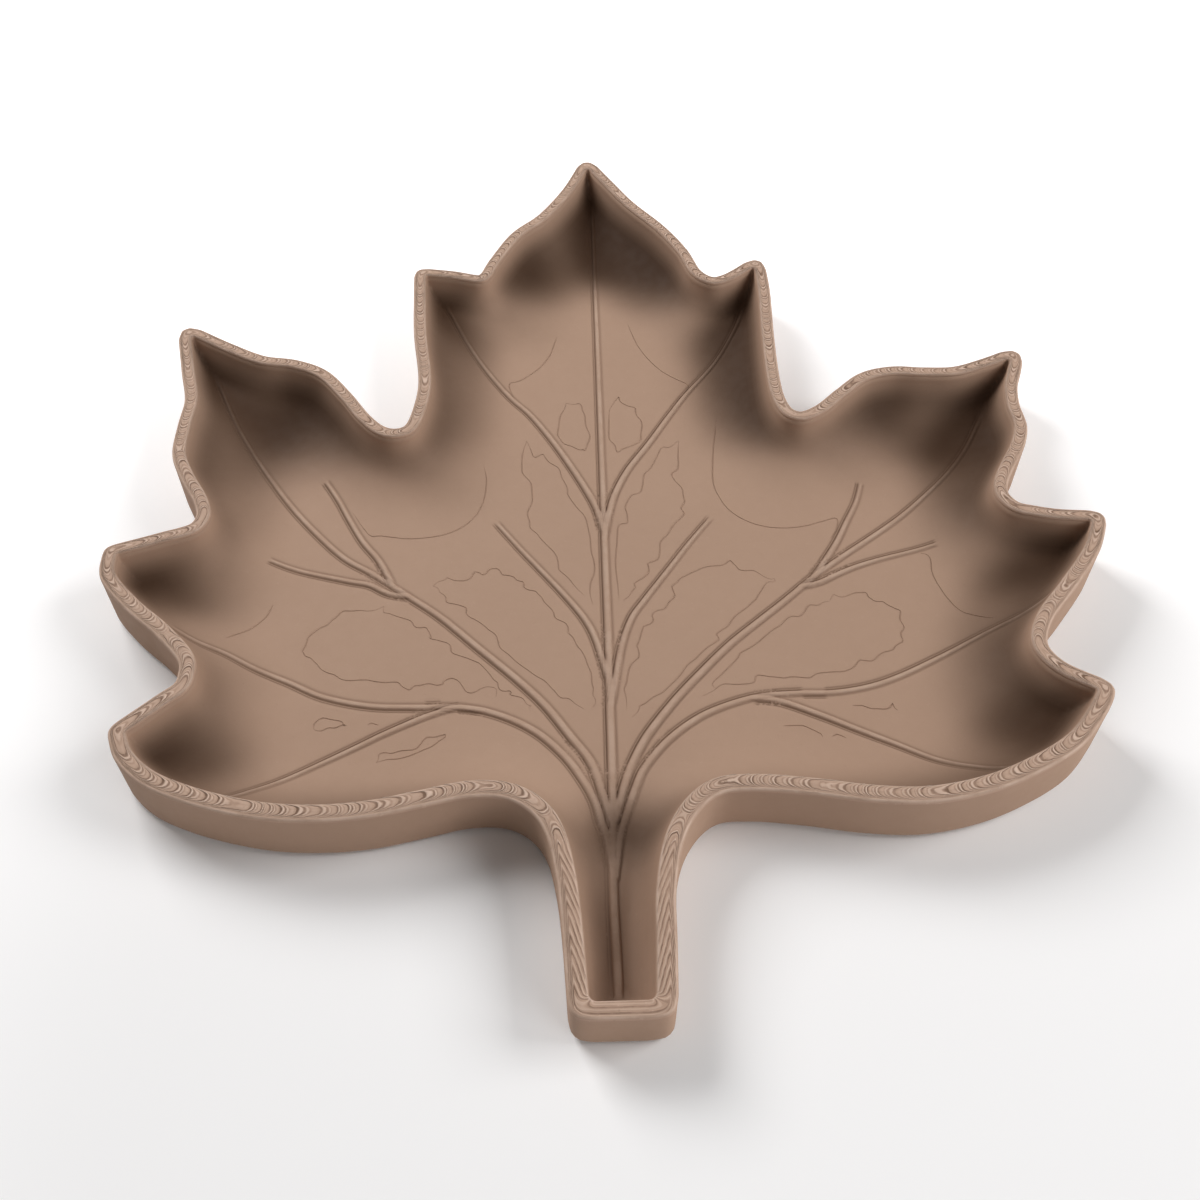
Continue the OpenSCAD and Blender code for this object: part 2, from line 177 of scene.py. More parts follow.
VEINS = (
    Vein("midrib", (
        (-0.017, -0.97), (-0.0175, -0.91), (-0.018, -0.8), (-0.012, -0.63), (-0.01, -0.45),
        (-0.008, -0.33), (-0.0075, -0.145), (-0.006, 0.06), (-0.005, 0.29), (-0.004, 0.52),
        (-0.004, 0.7), (-0.004, 0.865), (-0.004, 0.945),
    ), 2.5, 1.0),
    Vein("right_lower", (
        (-0.014, -0.79), (-0.003, -0.725), (0.01, -0.685), (0.03, -0.63), (0.05, -0.59), (0.095, -0.54),
        (0.15, -0.5), (0.205, -0.475), (0.28, -0.455), (0.36, -0.45), (0.43, -0.45), (0.5, -0.44),
        (0.565, -0.42), (0.65, -0.385), (0.74, -0.35), (0.85, -0.315), (0.9, -0.288),
    )),
    Vein("right_lower_branch", (
        (0.265, -0.458), (0.32, -0.465), (0.395, -0.495), (0.46, -0.525), (0.535, -0.56), (0.6, -0.595),
        (0.665, -0.62), (0.72, -0.635),
    ), 1.9, 0.75),
    Vein("right_upper", (
        (-0.01, -0.69), (0.013, -0.615), (0.03, -0.575), (0.06, -0.525), (0.115, -0.46), (0.17, -0.405),
        (0.235, -0.345), (0.3, -0.295), (0.36, -0.25), (0.43, -0.195), (0.495, -0.15), (0.565, -0.105),
        (0.64, -0.055), (0.705, -0.005), (0.77, 0.05), (0.83, 0.115), (0.885, 0.195),
    )),
    Vein("right_outer", (
        (0.4, -0.217), (0.44, -0.208), (0.48, -0.19), (0.53, -0.17), (0.6, -0.15), (0.71, -0.125),
    ), 1.8, 0.7),
    Vein("right_inner", (
        (0.43, -0.195), (0.46, -0.158), (0.495, -0.11), (0.525, -0.06), (0.555, -0.01), (0.575, 0.04),
    ), 1.8, 0.7),
    Vein("right_short", (
        (-0.009, -0.47), (0.008, -0.386), (0.021, -0.332), (0.042, -0.279), (0.07, -0.24),
        (0.105, -0.195), (0.14, -0.15), (0.175, -0.105), (0.23, -0.04),
    ), 1.9, 0.75),
    Vein("right_crown", (
        (-0.008, -0.09), (0.005, -0.025), (0.023, 0.033), (0.055, 0.095), (0.105, 0.165), (0.155, 0.24),
        (0.205, 0.31), (0.25, 0.36), (0.285, 0.4), (0.32, 0.45), (0.35, 0.5), (0.37, 0.557),
    ), 2.0, 0.8),
    Vein("left_lower", (
        (-0.017, -0.79), (-0.026, -0.725), (-0.035, -0.695), (-0.045, -0.655), (-0.065, -0.615),
        (-0.1, -0.565), (-0.155, -0.515), (-0.225, -0.48), (-0.3, -0.462), (-0.39, -0.46),
        (-0.48, -0.455), (-0.57, -0.435), (-0.64, -0.405), (-0.71, -0.38), (-0.77, -0.355),
        (-0.835, -0.335), (-0.885, -0.31),
    )),
    Vein("left_lower_branch", (
        (-0.255, -0.47), (-0.31, -0.464), (-0.36, -0.477), (-0.405, -0.495), (-0.45, -0.515),
        (-0.49, -0.535), (-0.56, -0.57), (-0.625, -0.605), (-0.71, -0.65),
    ), 1.9, 0.75),
    Vein("left_upper", (
        (-0.018, -0.69), (-0.039, -0.608), (-0.055, -0.57), (-0.085, -0.53), (-0.135, -0.465),
        (-0.19, -0.41), (-0.27, -0.34), (-0.35, -0.27), (-0.42, -0.22), (-0.5, -0.165),
        (-0.565, -0.125), (-0.63, -0.065), (-0.695, 0.005), (-0.75, 0.075), (-0.805, 0.15),
        (-0.855, 0.225), (-0.915, 0.335),
    )),
    Vein("left_outer", (
        (-0.42, -0.22), (-0.464, -0.211), (-0.505, -0.19), (-0.55, -0.18), (-0.65, -0.155),
        (-0.725, -0.13),
    ), 1.8, 0.7),
    Vein("left_inner", (
        (-0.455, -0.195), (-0.49, -0.134), (-0.53, -0.085), (-0.565, -0.03), (-0.595, 0.02),
        (-0.63, 0.07),
    ), 1.8, 0.7),
    Vein("left_short", (
        (-0.0095, -0.42), (-0.032, -0.331), (-0.055, -0.28), (-0.095, -0.225), (-0.14, -0.17),
        (-0.19, -0.11), (-0.245, -0.04),
    ), 1.9, 0.75),
    Vein("left_crown", (
        (-0.0075, -0.075), (-0.021, -0.014), (-0.045, 0.042), (-0.08, 0.11), (-0.12, 0.18),
        (-0.17, 0.255), (-0.215, 0.305), (-0.26, 0.365), (-0.3, 0.425), (-0.34, 0.49), (-0.385, 0.567),
    ), 2.0, 0.8),
)

# Fine lines drawn on the floor, in millimetres from the middle of the leaf
FLOOR_LINES = {
    "left_notch_sweep": (Line.SWEEP, (
        (-40, 18), (-39, 10.5), (-40, 1.5), (-42.5, -4.5), (-47, -9.5), (-53.5, -12.5), (-62.5, -13.5),
        (-72, -12), (-75.5, -11.5), (-81.5, -2),
    )),
    "right_notch_sweep": (Line.SWEEP, (
        (39, 38), (36.5, 22), (35.5, 9), (37, 1.5), (40, -4.5), (45.5, -9.5), (52.5, -12), (61, -12),
        (68, -10), (73.5, -8.5), (73, -12.5), (70.5, -17),
    )),
    "right_side_sweep": (Line.SWEEP, (
        (97.5, -24.5), (99.5, -25.5), (100, -28), (99.5, -32.5), (100.5, -38), (102.5, -44),
        (105, -48.5), (108.5, -51), (113, -53.5),
    )),
    "left_side_sweep": (Line.SWEEP, (
        (-102, -39.5), (-103, -43.5), (-104.5, -46), (-107.5, -49.5), (-111, -52), (-113.5, -54),
    )),
    "right_crown_sweep": (Line.SWEEP, (
        (11, 92.5), (14, 80.5), (18, 71.5), (22.5, 65), (27.5, 60.5), (30.5, 58), (30, 55), (26, 49.5),
    )),
    "left_crown_sweep": (Line.SWEEP, (
        (-15.5, 85.5), (-18, 76), (-22, 68.5), (-28.5, 62), (-32.5, 60), (-30.5, 52),
    )),
    "left_heart_upper": (Line.OPEN, (
        (-54, -33.5), (-52, -31.5), (-50, -30), (-47, -31.5), (-44.5, -31.5), (-41.5, -28),
        (-39, -29.5), (-37, -27), (-34.5, -27), (-33, -29.5), (-29.5, -30.5), (-26.5, -32.5),
        (-26.5, -34.5), (-22.5, -36.5), (-21, -38.5), (-18, -43.5), (-17, -47), (-13.5, -49.5),
        (-13, -53), (-11, -56.5), (-9, -60), (-7.5, -65), (-6.5, -69.5), (-6, -73.5), (-5.5, -77.5),
        (-6.5, -80),
    )),
    "left_heart_lower": (Line.OPEN, (
        (-54, -33.5), (-52, -36), (-50, -38), (-50, -40), (-43.5, -42.5), (-42.5, -46), (-38.5, -49),
        (-34.5, -53), (-33, -58), (-28, -63.5), (-22.5, -68.5), (-18, -73), (-15.5, -76.5), (-12, -78),
        (-9, -80.5),
    )),
    "left_wing_upper": (Line.OPEN, (
        (-68.5, -41), (-68.5, -43.5), (-64.5, -45), (-60, -47), (-59, -49), (-56, -49.5), (-54.5, -51),
        (-54, -54), (-50.5, -55), (-47.5, -57), (-47, -59.5), (-42.5, -61.5), (-39, -63.5),
        (-35.5, -68), (-33.5, -70.5), (-33, -73), (-30, -73.5), (-30, -75), (-26, -76.5), (-24, -79),
        (-24.5, -80),
    )),
    "left_wing_lower": (Line.OPEN, (
        (-68.5, -41), (-71, -42.5), (-75.5, -42.5), (-80.5, -42.5), (-82.5, -45), (-85, -48),
        (-87.5, -49.5), (-90, -53), (-91, -57.5), (-90, -59.5), (-87.5, -61), (-85, -64),
        (-80.5, -66.5), (-77, -68.5), (-71, -68.5), (-67, -69.5), (-62.5, -69.5), (-61, -71),
        (-58.5, -72.5), (-56, -71), (-51, -71), (-49, -69.5), (-47, -68.5), (-44.5, -70),
        (-42.5, -73.5), (-40.5, -74), (-37, -72), (-34, -72.5), (-34, -75.5),
    )),
    "left_flame_right": (Line.OPEN, (
        (-26, 30.5), (-23.5, 22.5), (-20.5, 24), (-18.5, 20), (-15, 16.5), (-12.5, 8), (-12, 3.5),
        (-7, -5.5), (-5.5, -15.5), (-4.5, -25.5), (-6, -34), (-5.5, -42),
    )),
    "left_flame_left": (Line.OPEN, (
        (-26, 30.5), (-27.5, 16.5), (-24.5, 10.5), (-24, 2), (-25.5, -3.5), (-24.5, -10), (-21, -15),
        (-16.5, -21.5), (-15.5, -28), (-12, -32.5), (-8, -38.5),
    )),
    "right_flame_left": (Line.OPEN, (
        (25, 29), (22, 26), (19.5, 26), (17, 20), (13, 13.5), (11.5, 5.5), (8.5, 4), (6, -2),
        (6.5, -8.5), (3.5, -10), (2, -26), (2.5, -40),
    )),
    "right_flame_right": (Line.OPEN, (
        (25.5, 29), (24.5, 16.5), (22, 13.5), (25, 6.5), (25.5, 0.5), (24, -2.5), (25, -5), (21, -10),
        (16.5, -17), (15.5, -24), (12, -26), (12, -30), (7.5, -34), (7, -36.5), (5, -40), (4, -41.5),
    )),
    "right_heart_upper": (Line.OPEN, (
        (50.5, -33.5), (48, -33), (44.5, -30), (40, -29.5), (39, -27.5), (37.5, -25.5), (35, -27.5),
        (30, -28), (25, -30.5), (21.5, -32.5), (19, -35.5), (19.5, -39.5), (16, -44.5), (13, -45.5),
        (12.5, -49), (9.5, -51), (8.5, -54), (7, -58.5), (7.5, -62.5), (4.5, -66.5), (3.5, -71.5),
        (3, -75.5), (3, -80.5),
    )),
    "right_heart_lower": (Line.OPEN, (
        (50.5, -33.5), (50, -35), (47, -36.5), (44, -41.5), (42.5, -43), (38, -47), (35, -51),
        (32, -53.5), (31.5, -56.5), (24, -63.5), (19, -69.5), (14, -75), (12.5, -76), (9, -78.5),
        (6.5, -80), (6, -82), (4.5, -83.5),
    )),
    "right_wing_lower": (Line.OPEN, (
        (66.5, -42.5), (68, -40), (70, -41.5), (74, -40), (78, -40), (78, -41.5), (80, -43.5),
        (83.5, -45), (87, -47.5), (87, -54), (85.5, -56), (85.5, -59), (82, -62), (78, -63.5),
        (75, -66), (71.5, -65.5), (69.5, -68), (67.5, -69), (65.5, -69.5), (58.5, -70), (56, -71.5),
        (50.5, -71), (47, -71), (41, -70), (38.5, -73), (31, -73), (25, -77),
    )),
    "right_wing_upper": (Line.OPEN, (
        (66, -43), (62.5, -44.5), (59.5, -44.5), (56.5, -48.5), (53.5, -48.5), (50, -52), (45.5, -55.5),
        (41, -59.5), (37, -62), (35.5, -64.5), (30, -70.5), (28, -73), (29, -74.5),
    )),
    "left_crown_drop": (Line.CLOSED, (
        (-12.5, 49.5), (-7.5, 49), (-6, 42.5), (-4.5, 32.5), (-6.5, 25), (-8, 25.5), (-13, 28.5),
        (-15.5, 33.5), (-14.5, 43),
    )),
    "right_crown_drop": (Line.CLOSED, (
        (2.5, 45.5), (6, 52.5), (7.5, 48.5), (11.5, 46.5), (12, 42), (13.5, 37), (12.5, 29.5),
        (8, 26.5), (4.5, 24), (2, 31),
    )),
    "left_crumb": (Line.CLOSED, (
        (-84, -85.5), (-84, -82.5), (-80, -82), (-76.5, -83), (-75.5, -84), (-78.5, -85), (-81, -85),
    )),
    "left_dash": (Line.OPEN, ((-69.5, -84), (-68, -83.8), (-66.5, -84.2))),
    "left_drop": (Line.CLOSED, (
        (-66, -97), (-65.5, -94), (-62, -94), (-56, -93), (-53, -89), (-47.5, -88), (-49, -90),
        (-54, -93.5), (-60, -96),
    )),
    "right_crumb_high": (Line.OPEN, (
        (67, -81.5), (69, -81.5), (71.5, -82.5), (76.5, -83), (78.5, -81), (79.5, -83.5),
    )),
    "right_crumb_mid": (Line.OPEN, ((46.5, -88), (52, -88), (56, -90.5), (57, -92))),
    "right_crumb_low": (Line.OPEN, ((59.5, -92), (60.5, -91), (63.5, -92.5))),
}


def smooth_curve(places: Array, step: float, whole: bool = False) -> Array:
    """Samples the smooth curve through places.

    Args:
        places: Points in order, one row each.
        step: Longest straight step between samples.
        whole: Whether the last point is a sample too.

    Returns:
        The samples, one row each.
    """
    samples = []
    ends = np.vstack([places[:1], places, places[-1:]])
    for a, b, c, d in zip(ends, ends[1:], ends[2:], ends[3:]):
        count = max(1, math.ceil(np.linalg.norm(c - b) / step))
        t = (np.arange(count) / count)[:, None]
        samples.append(
            b + ((c - a) * t + (2 * a - 5 * b + 4 * c - d) * t**2
                 + (3 * b - a - 3 * c + d) * t**3) / 2
        )
    return np.vstack(samples + [places[-1:]] * whole)


def ease(low: float, high: float, values: Array) -> Array:
    """Rises smoothly from 0 where values reach low to 1 where they reach high."""
    t = np.clip((values - low) / (high - low), 0.0, 1.0)
    return t * t * (3 - 2 * t)


def unit(angle: Array | float) -> Array:
    """Directions at angles in radians, in the last axis."""
    return np.stack([np.cos(angle), np.sin(angle)], axis=-1)


def heading(way: Array) -> float:
    """Angle of a direction in radians."""
    return math.atan2(way[1], way[0])


def right_of(line: Array) -> Array:
    """Finds the ways to the right of a line.

    Args:
        line: Points of the line, one row each.

    Returns:
        One direction of length one for each point.
    """
    way = np.gradient(line, axis=0)
    way = np.stack([way[:, 1], -way[:, 0]], axis=1)
    return way / np.linalg.norm(way, axis=1)[:, None]


def running(steps: Array) -> Array:
    """Running sum of steps, from 0."""
    return np.concatenate([[0.0], np.cumsum(steps)])


def read_along(at: Array, along: Array, rows: Array) -> Array:
    """Reads rows of two numbers, known at lengths along a line, at other lengths."""
    return np.stack([np.interp(at, along, rows[:, j]) for j in (0, 1)], axis=1)


@dataclass(frozen=True)
class Bell:
    """A soft bump along a line: its middle, its width and its size."""

    middle: float
    width: float
    size: float = 1.0

    def at(self, values: Array) -> Array:
        """Height of the bump at values along the line."""
        return self.size * np.exp(-(((values - self.middle) / self.width) ** 2))


@dataclass
class Reach:
    """How points lie to a track: distance, side (left is positive) and length along it."""

    gap: Array
    side: Array
    along: Array


class Track:
    """A path seen from above that distances are measured to."""

    def __init__(self, points: Array, closed: bool) -> None:
        """Stores the path.

        Args:
            points: Close samples of the path, one row each.
            closed: Whether the last sample joins the first.
        """
        self.points = points
        self.closed = closed
        ends = np.roll(points, -1, axis=0) if closed else points[1:]
        self.starts = points if closed else points[:-1]
        self.sides = ends - self.starts
        self.along = running(np.linalg.norm(self.sides, axis=1))
        self.length = float(self.along[-1])
        self.tree = kdtree.KDTree(len(points))
        for i, (x, y) in enumerate(points):
            self.tree.insert((x, y, 0.0), i)
        self.tree.balance()

    def measure(self, places: Array) -> Reach:
        """Measures places against the path.

        Args:
            places: Points seen from above, one row each.

        Returns:
            Their distance, side and length along the path.
        """
        near = np.array([self.tree.find((x, y, 0.0))[1] for x, y in places], dtype=int)
        found = Reach(np.full(len(places), np.inf), np.ones(len(places)), np.zeros(len(places)))
        count = len(self.starts)
        for shift in (-1, 0):
            k = (near + shift) % count if self.closed else np.clip(near + shift, 0, count - 1)
            way = self.sides[k]
            off = places - self.starts[k]
            size = np.maximum((way * way).sum(1), TINY)
            t = np.clip((off * way).sum(1) / size, 0.0, 1.0)
            gap = np.linalg.norm(off - way * t[:, None], axis=1)
            side = np.sign(way[:, 0] * off[:, 1] - way[:, 1] * off[:, 0])
            better = gap < found.gap
            found.gap = np.where(better, gap, found.gap)
            found.side = np.where(better, side, found.side)
            found.along = np.where(better, self.along[k] + t * np.sqrt(size), found.along)
        return found


@dataclass
class EdgeLoop:
    """The inner edge of the rim, evenly spaced along the middle of the rim."""

    inner: Array
    way: Array
    step: float
    tips: list[float]
    stem_corners: list[float]
    notches: list[float]

    @property
    def along(self) -> Array:
        """Length along the middle of the rim at each point."""
        return np.arange(len(self.inner)) * self.step

    @property
    def length(self) -> float:
        """Length all the way round the middle of the rim."""
        return len(self.inner) * self.step


class LeafPlan:
    """Outline and heights of the leaf, from the same rules as the solid model.

    LEE_WAYS are the directions, in degrees, in which a wall can keep light from a place, each with
    what it adds to the painted shade of the dish. The spots after them are soft spots of painted shade,
    in millimetres, each with what it adds.
    """

    CORNER_STEPS = 24
    SQUARED = 0.4
    SAMPLE = 0.3
    TANGENT = 5
    CLEAR = 0.1
    LOOP_STEP = 0.46
    MARGIN = 6
    GRID = 1.5
    BLUR_CELLS = 9
    LEAST_SUM = 1e-6
    FLOOR_BLUR = 4.5
    LEE_BLUR = 3.6
    LEE_WAYS = (
        (90, 0.06), (70, 0.07), (110, 0.06), (50, 0.1), (130, 0.09), (28, 0.16), (152, 0.13), (8, 0.2),
        (172, 0.16), (-12, 0.21), (-168, 0.16), (-32, 0.19), (-148, 0.16), (-52, 0.12), (-128, 0.08),
    )
    LEE_REACH = 50.0
    LEE_RISE = (0.3, 0.8)
    LEE_SUM = (0.35, 1.1)
    STEM_START = (0.0, 0.3)
    STEM_LEE = 0.75
    PAINTED_SHADE_SPOTS = ((62.0, 23.0, 0.38), (-66.0, 13.0, 0.38), (-24.0, 115.0, 0.2), (14.0, 124.0, 0.16))
    PAINTED_SHADE_SPREAD = 8.5
    SOFT_GAP = (3.0, 9.0)

    def __init__(self, sizes: TraySizes) -> None:
        """Works out the outline.

        Args:
            sizes: Sizes of the tray in millimetres.
        """
        self.sizes = sizes
        self.half = np.array([sizes.leaf_w / 2 - sizes.rim_w, sizes.leaf_l / 2 - sizes.rim_w])
        self.hub = self.place(HUB)
        self.tip_reach = float(np.linalg.norm(self.place(TOP_TIP) - self.hub))
        self.stem_root_y = self.place(STEM_ROOT)[1]
        self.stem_end_y = self.place(STEM_END)[1]
        self.loop = self.edge_loop()
        self.track = Track(self.loop.inner, True)
        self.soft_floor, self.hollow = self.grids()

    def place(self, shares: Pair | tuple[Pair, ...]) -> Array:
        """Places in millimetres of one point or more given in shares."""
        return np.array(shares) * self.half

    def corner(self, before: Array, tip: Array, after: Array, stem: bool) -> tuple[Array, Array, float]:
        """Rounds one tip of the outline.

        Args:
            before: Point that the edge comes from.
            tip: The tip itself.
            after: Point that the edge goes to.
            stem: Whether this is a corner of the stem, squarer outside.

        Returns:
            The inner points, the ways out across the rim, and how far from the tip they start.
        """
        radius = self.sizes.stem_corner_r if stem else self.sizes.tip_r
        square = self.sizes.stem_square if stem else self.sizes.tip_square
        start = heading(tip - before) - math.pi / 2
        sweep = (heading(after - tip) - math.pi / 2 - start) % TURN
        out = unit(start) + unit(start + sweep)
        centre = tip - radius * out * 2 / (out @ out)
        k = np.linspace(0.0, 1.0, self.CORNER_STEPS + 1)
        off = np.minimum(np.minimum(k, 1 - k), self.SQUARED) * sweep
        way = unit(start + sweep * k)
        stretch = 1 + square * (1 / np.cos(off) - 1)
        way_out = self.widened(np.repeat(tip[None], len(way), axis=0), way * stretch[:, None])
        return centre + radius * way, way_out, radius * math.tan(sweep / 2)

    def widened(self, places: Array, way: Array) -> Array:
        """Lengthens ways out across the rim where it is wider, but not over the stem's end bar.

        Args:
            places: Points of the inner edge.
            way: Ways out of length one.

        Returns:
            The ways, one rim width long where the rim has its plain width.
        """
        extra = self.sizes.rim_flare * np.maximum(0.0, -places[:, 1]) / self.half[1]
        plain = 1 - self.stem_share(places)
        return way * (1 + extra[:, None] * np.column_stack([np.ones(len(way)), plain]))

    def edge_loop(self) -> EdgeLoop:
        """Samples the inner edge of the rim all the way round.

        Returns:
            The loop, with the places of its tips and notches along it.
        """
        runs = [self.place(run) for run in EDGE_RUNS.values()]
        after = [(i + 1) % len(runs) for i in range(len(runs))]
        curves = [
            smooth_curve(np.vstack([run, runs[j][0]]), self.SAMPLE) for run, j in zip(runs, after)
        ]
        stems = [name in STEM_CORNERS for name in EDGE_RUNS]
        corners = [
            self.corner(curves[i - 1][-self.TANGENT], run[0], curves[i][self.TANGENT], stems[i])
            for i, run in enumerate(runs)
        ]
        inner, way, rows, marks = [], [], 0, {True: [], False: []}
        for i, (points, ways, back) in enumerate(corners):
            marks[stems[i]].append(rows + len(points) // 2)
            run = curves[i]
            for tip, room in ((i, back), (after[i], corners[after[i]][2])):
                run = run[np.linalg.norm(run - runs[tip][0], axis=1) > room + self.CLEAR]
            inner += [points, run]
            way += [ways, self.widened(run, right_of(run))]
            rows += len(points) + len(run)
        inner, way = np.vstack(inner), np.vstack(way)
        mid = inner + way * self.sizes.rim_w / 2
        along = running(np.linalg.norm(np.roll(mid, -1, axis=0) - mid, axis=1))
        count = round(along[-1] / self.LOOP_STEP)
        at = np.arange(count) * along[-1] / count
        even = [read_along(at, along, np.vstack([part, part[:1]])) for part in (inner, way)]
        notches = [np.linalg.norm(inner - self.place(notch), axis=1).argmin() for notch in NOTCHES]
        spots = [along[found].tolist() for found in (marks[False], marks[True], notches)]
        return EdgeLoop(*even, float(along[-1] / count), *spots)

    def stem_share(self, places: Array) -> Array:
        """How far along the stem places are, from 0 at its root to 1 at its end."""
        drop = self.stem_root_y - self.stem_end_y
        return np.maximum(0.0, (self.stem_root_y - places[:, 1]) / drop)

    def rim_z(self, places: Array) -> Array:
        """Height of the rim's edges over the table.

        Args:
            places: Points seen from above.

        Returns:
            Height at each place.
        """
        sizes = self.sizes
        reach = np.linalg.norm(places - self.hub, axis=1) / self.tip_reach
        return sizes.notch_h + sizes.tip_rise * reach - sizes.stem_drop * self.stem_share(places)

    def cove_z(self, places: Array, gap: Array) -> Array:
        """Height of the floor and its cove.

        Args:
            places: Points seen from above.
            gap: Their distance to the inner edge of the rim.

        Returns:
            Heights over the table.
        """
        sizes = self.sizes
        t = np.minimum(1.0, self.stem_share(places) * 2)
        cove = sizes.cove_w + (sizes.stem_cove_w - sizes.cove_w) * t * t * (3 - 2 * t)
        rest = 1 - np.minimum(1.0, gap / cove)
        top = self.rim_z(places) - sizes.band_t
        return sizes.floor_t + (top - sizes.floor_t) * (1 - np.sqrt(1 - rest * rest))

    def grids(self) -> tuple[Array, Array]:
        """Works out what changes softly over the leaf on a square grid.

        Returns:
            Heights of the floor, so soft that no crease stays where two coves meet, and how much painted
            shade each place gets, from 0 to 1, most in hollows behind or beside a wall.
        """
        across, length = (
            np.arange(-half - self.MARGIN, half + self.MARGIN, self.GRID) for half in self.half
        )
        self.grid_start = np.array([across[0], length[0]])
        xs, ys = np.meshgrid(across, length, indexing="ij")
        places = np.stack([xs.ravel(), ys.ravel()], axis=1)
        reach = self.track.measure(places)
        inside = (reach.side > 0).reshape(xs.shape)
        height = self.cove_z(places, reach.gap).reshape(xs.shape)
        wall = np.where(inside, 0.0, self.rim_z(places).reshape(xs.shape))
        painted_shade = np.zeros(xs.shape)
        # Painted shade: a place darkens for each way in which a wall near it rises steeply enough.
        for angle, share in self.LEE_WAYS:
            way = unit(math.radians(angle))
            rise = np.zeros(xs.shape)
            for far in np.arange(self.GRID, self.LEE_REACH, self.GRID):
                step = np.rint(way * far / self.GRID).astype(int)
                ahead = np.roll(wall, (-step[0], -step[1]), axis=(0, 1))
                rise = np.maximum(rise, (ahead - height) / far)
            painted_shade += share * ease(*self.LEE_RISE, rise)
        # Soft spots of painted shade at listed places.
        for x, y, share in self.PAINTED_SHADE_SPOTS:
            painted_shade += share * np.exp(-0.5 * (np.hypot(xs - x, ys - y) / self.PAINTED_SHADE_SPREAD) ** 2)
        stem = ease(*self.STEM_START, self.stem_share(places)).reshape(xs.shape)
        painted_shade = ease(*self.LEE_SUM, painted_shade) * (1 - self.STEM_LEE * stem)
        soft_floor = self.softened(height, inside, self.FLOOR_BLUR)
        return soft_floor, self.softened(painted_shade, inside, self.LEE_BLUR)

    def softened(self, values: Array, inside: Array, spread: float) -> Array:
        """Softens values on the grid, counting only the places inside the rim.

        Args:
            values: Values on the grid.
            inside: Which places are inside.
            spread: Spread of the blur in millimetres.

        Returns:
            The softened values.
        """
        cells = np.arange(-self.BLUR_CELLS, self.BLUR_CELLS + 1)
        kernel = np.exp(-0.5 * (cells * self.GRID / spread) ** 2)
        kernel /= kernel.sum()
        sums = [np.where(inside, values, 0.0), inside.astype(float)]
        for axis in (0, 1):
            sums = [np.apply_along_axis(np.convolve, axis, part, kernel, "same") for part in sums]
        return sums[0] / np.maximum(sums[1], self.LEAST_SUM)

    def sample(self, grid: Array, places: Array) -> Array:
        """Reads a grid, evenly between its points.

        Args:
            grid: Values on the grid.
            places: Points seen from above.

        Returns:
            Value at each place.
        """
        cell = (places - self.grid_start) / self.GRID
        low = np.clip(cell.astype(int), 0, np.array(grid.shape) - 2)
        u, v = (cell - low).T
        i, j = low.T
        return (
            grid[i, j] * (1 - u) * (1 - v) + grid[i + 1, j] * u * (1 - v)
            + grid[i, j + 1] * (1 - u) * v + grid[i + 1, j + 1] * u * v
        )

    def dish_z(self, places: Array, gap: Array) -> Array:
        """Height of the dish inside, without its veins.

        Args:
            places: Points seen from above.
            gap: Their distance to the inner edge of the rim.

        Returns:
            Heights over the table.
        """
        share = ease(*self.SOFT_GAP, gap)
        return self.cove_z(places, gap) * (1 - share) + self.sample(self.soft_floor, places) * share


class PointField:
    """Points seen from above, none nearer to another than it may be."""

    CELL = 0.6

    def __init__(self, sure: Array) -> None:
        """Starts with points that are kept in any case.

        Args:
            sure: The points, one row each.
        """
        self.kept: list[Pair] = []
        self.cells: dict[tuple[int, int], list[int]] = {}
        for x, y in sure.tolist():
            self.keep(x, y)

    def keep(self, x: float, y: float) -> None:
        """Keeps one point and notes its cell."""
        self.cells.setdefault((int(x // self.CELL), int(y // self.CELL)), []).append(len(self.kept))
        self.kept.append((x, y))

    def add(self, points: Array, spacing: float) -> None:
        """Adds the points that have room.

        Args:
            points: Points in order of worth, one row each.
            spacing: Least distance to any point already there.
        """
        ring = math.ceil(spacing / self.CELL)
        around = [(i, j) for i in range(-ring, ring + 1) for j in range(-ring, ring + 1)]
        for x, y in points.tolist():
            cx, cy = int(x // self.CELL), int(y // self.CELL)
            if not any(
                (self.kept[k][0] - x) ** 2 + (self.kept[k][1] - y) ** 2 < spacing**2
                for i, j in around
                for k in self.cells.get((cx + i, cy + j), ())
            ):
                self.keep(x, y)


def ring_strip(first: int, second: int, count: int) -> list[Face]:
    """Faces between two closed rings of points.

    Args:
        first: Index of the first point of the inner ring.
        second: Index of the first point of the next ring outwards.
        count: Points in each ring.

    Returns:
        One face for each step round the rings.
    """
    return [
        (first + j, second + j, second + (j + 1) % count, first + (j + 1) % count)
        for j in range(count)
    ]


def new_piece(name: str, points: Array, faces: list[Face], edges: tuple[Face, ...] = ()) -> Piece:
    """Makes a smooth shaded mesh object at the origin.

    Args:
        name: Name of the piece.
        points: Points in millimetres.
        faces: Point indices of each face.
        edges: Point indices of each edge, where there are no faces.

    Returns:
        The new object, linked to the scene.
    """
    mesh = bpy.data.meshes.new(name)
    mesh.from_pydata((points * MM).tolist(), edges, faces)
    mesh.polygons.foreach_set("use_smooth", [True] * len(mesh.polygons))
    mesh.update()
    return linked(name, mesh)


def linked(name: str, data: bpy.types.ID) -> Piece:
    """Makes an object and links it to the scene.

    Args:
        name: Its name.
        data: Mesh, lamp or camera that it shows.

    Returns:
        The object.
    """
    thing = bpy.data.objects.new(name, data)
    bpy.context.scene.collection.objects.link(thing)
    return thing


def set_masks(piece: Piece, **masks: Array) -> None:
    """Stores masks on a piece.

    Args:
        piece: Mesh object.
        masks: One value for each point, by the mask's name.
    """
    for name, values in masks.items():
        layer = piece.data.attributes.new(name, "FLOAT", "POINT")
        layer.data.foreach_set("value", values.astype(np.float32))


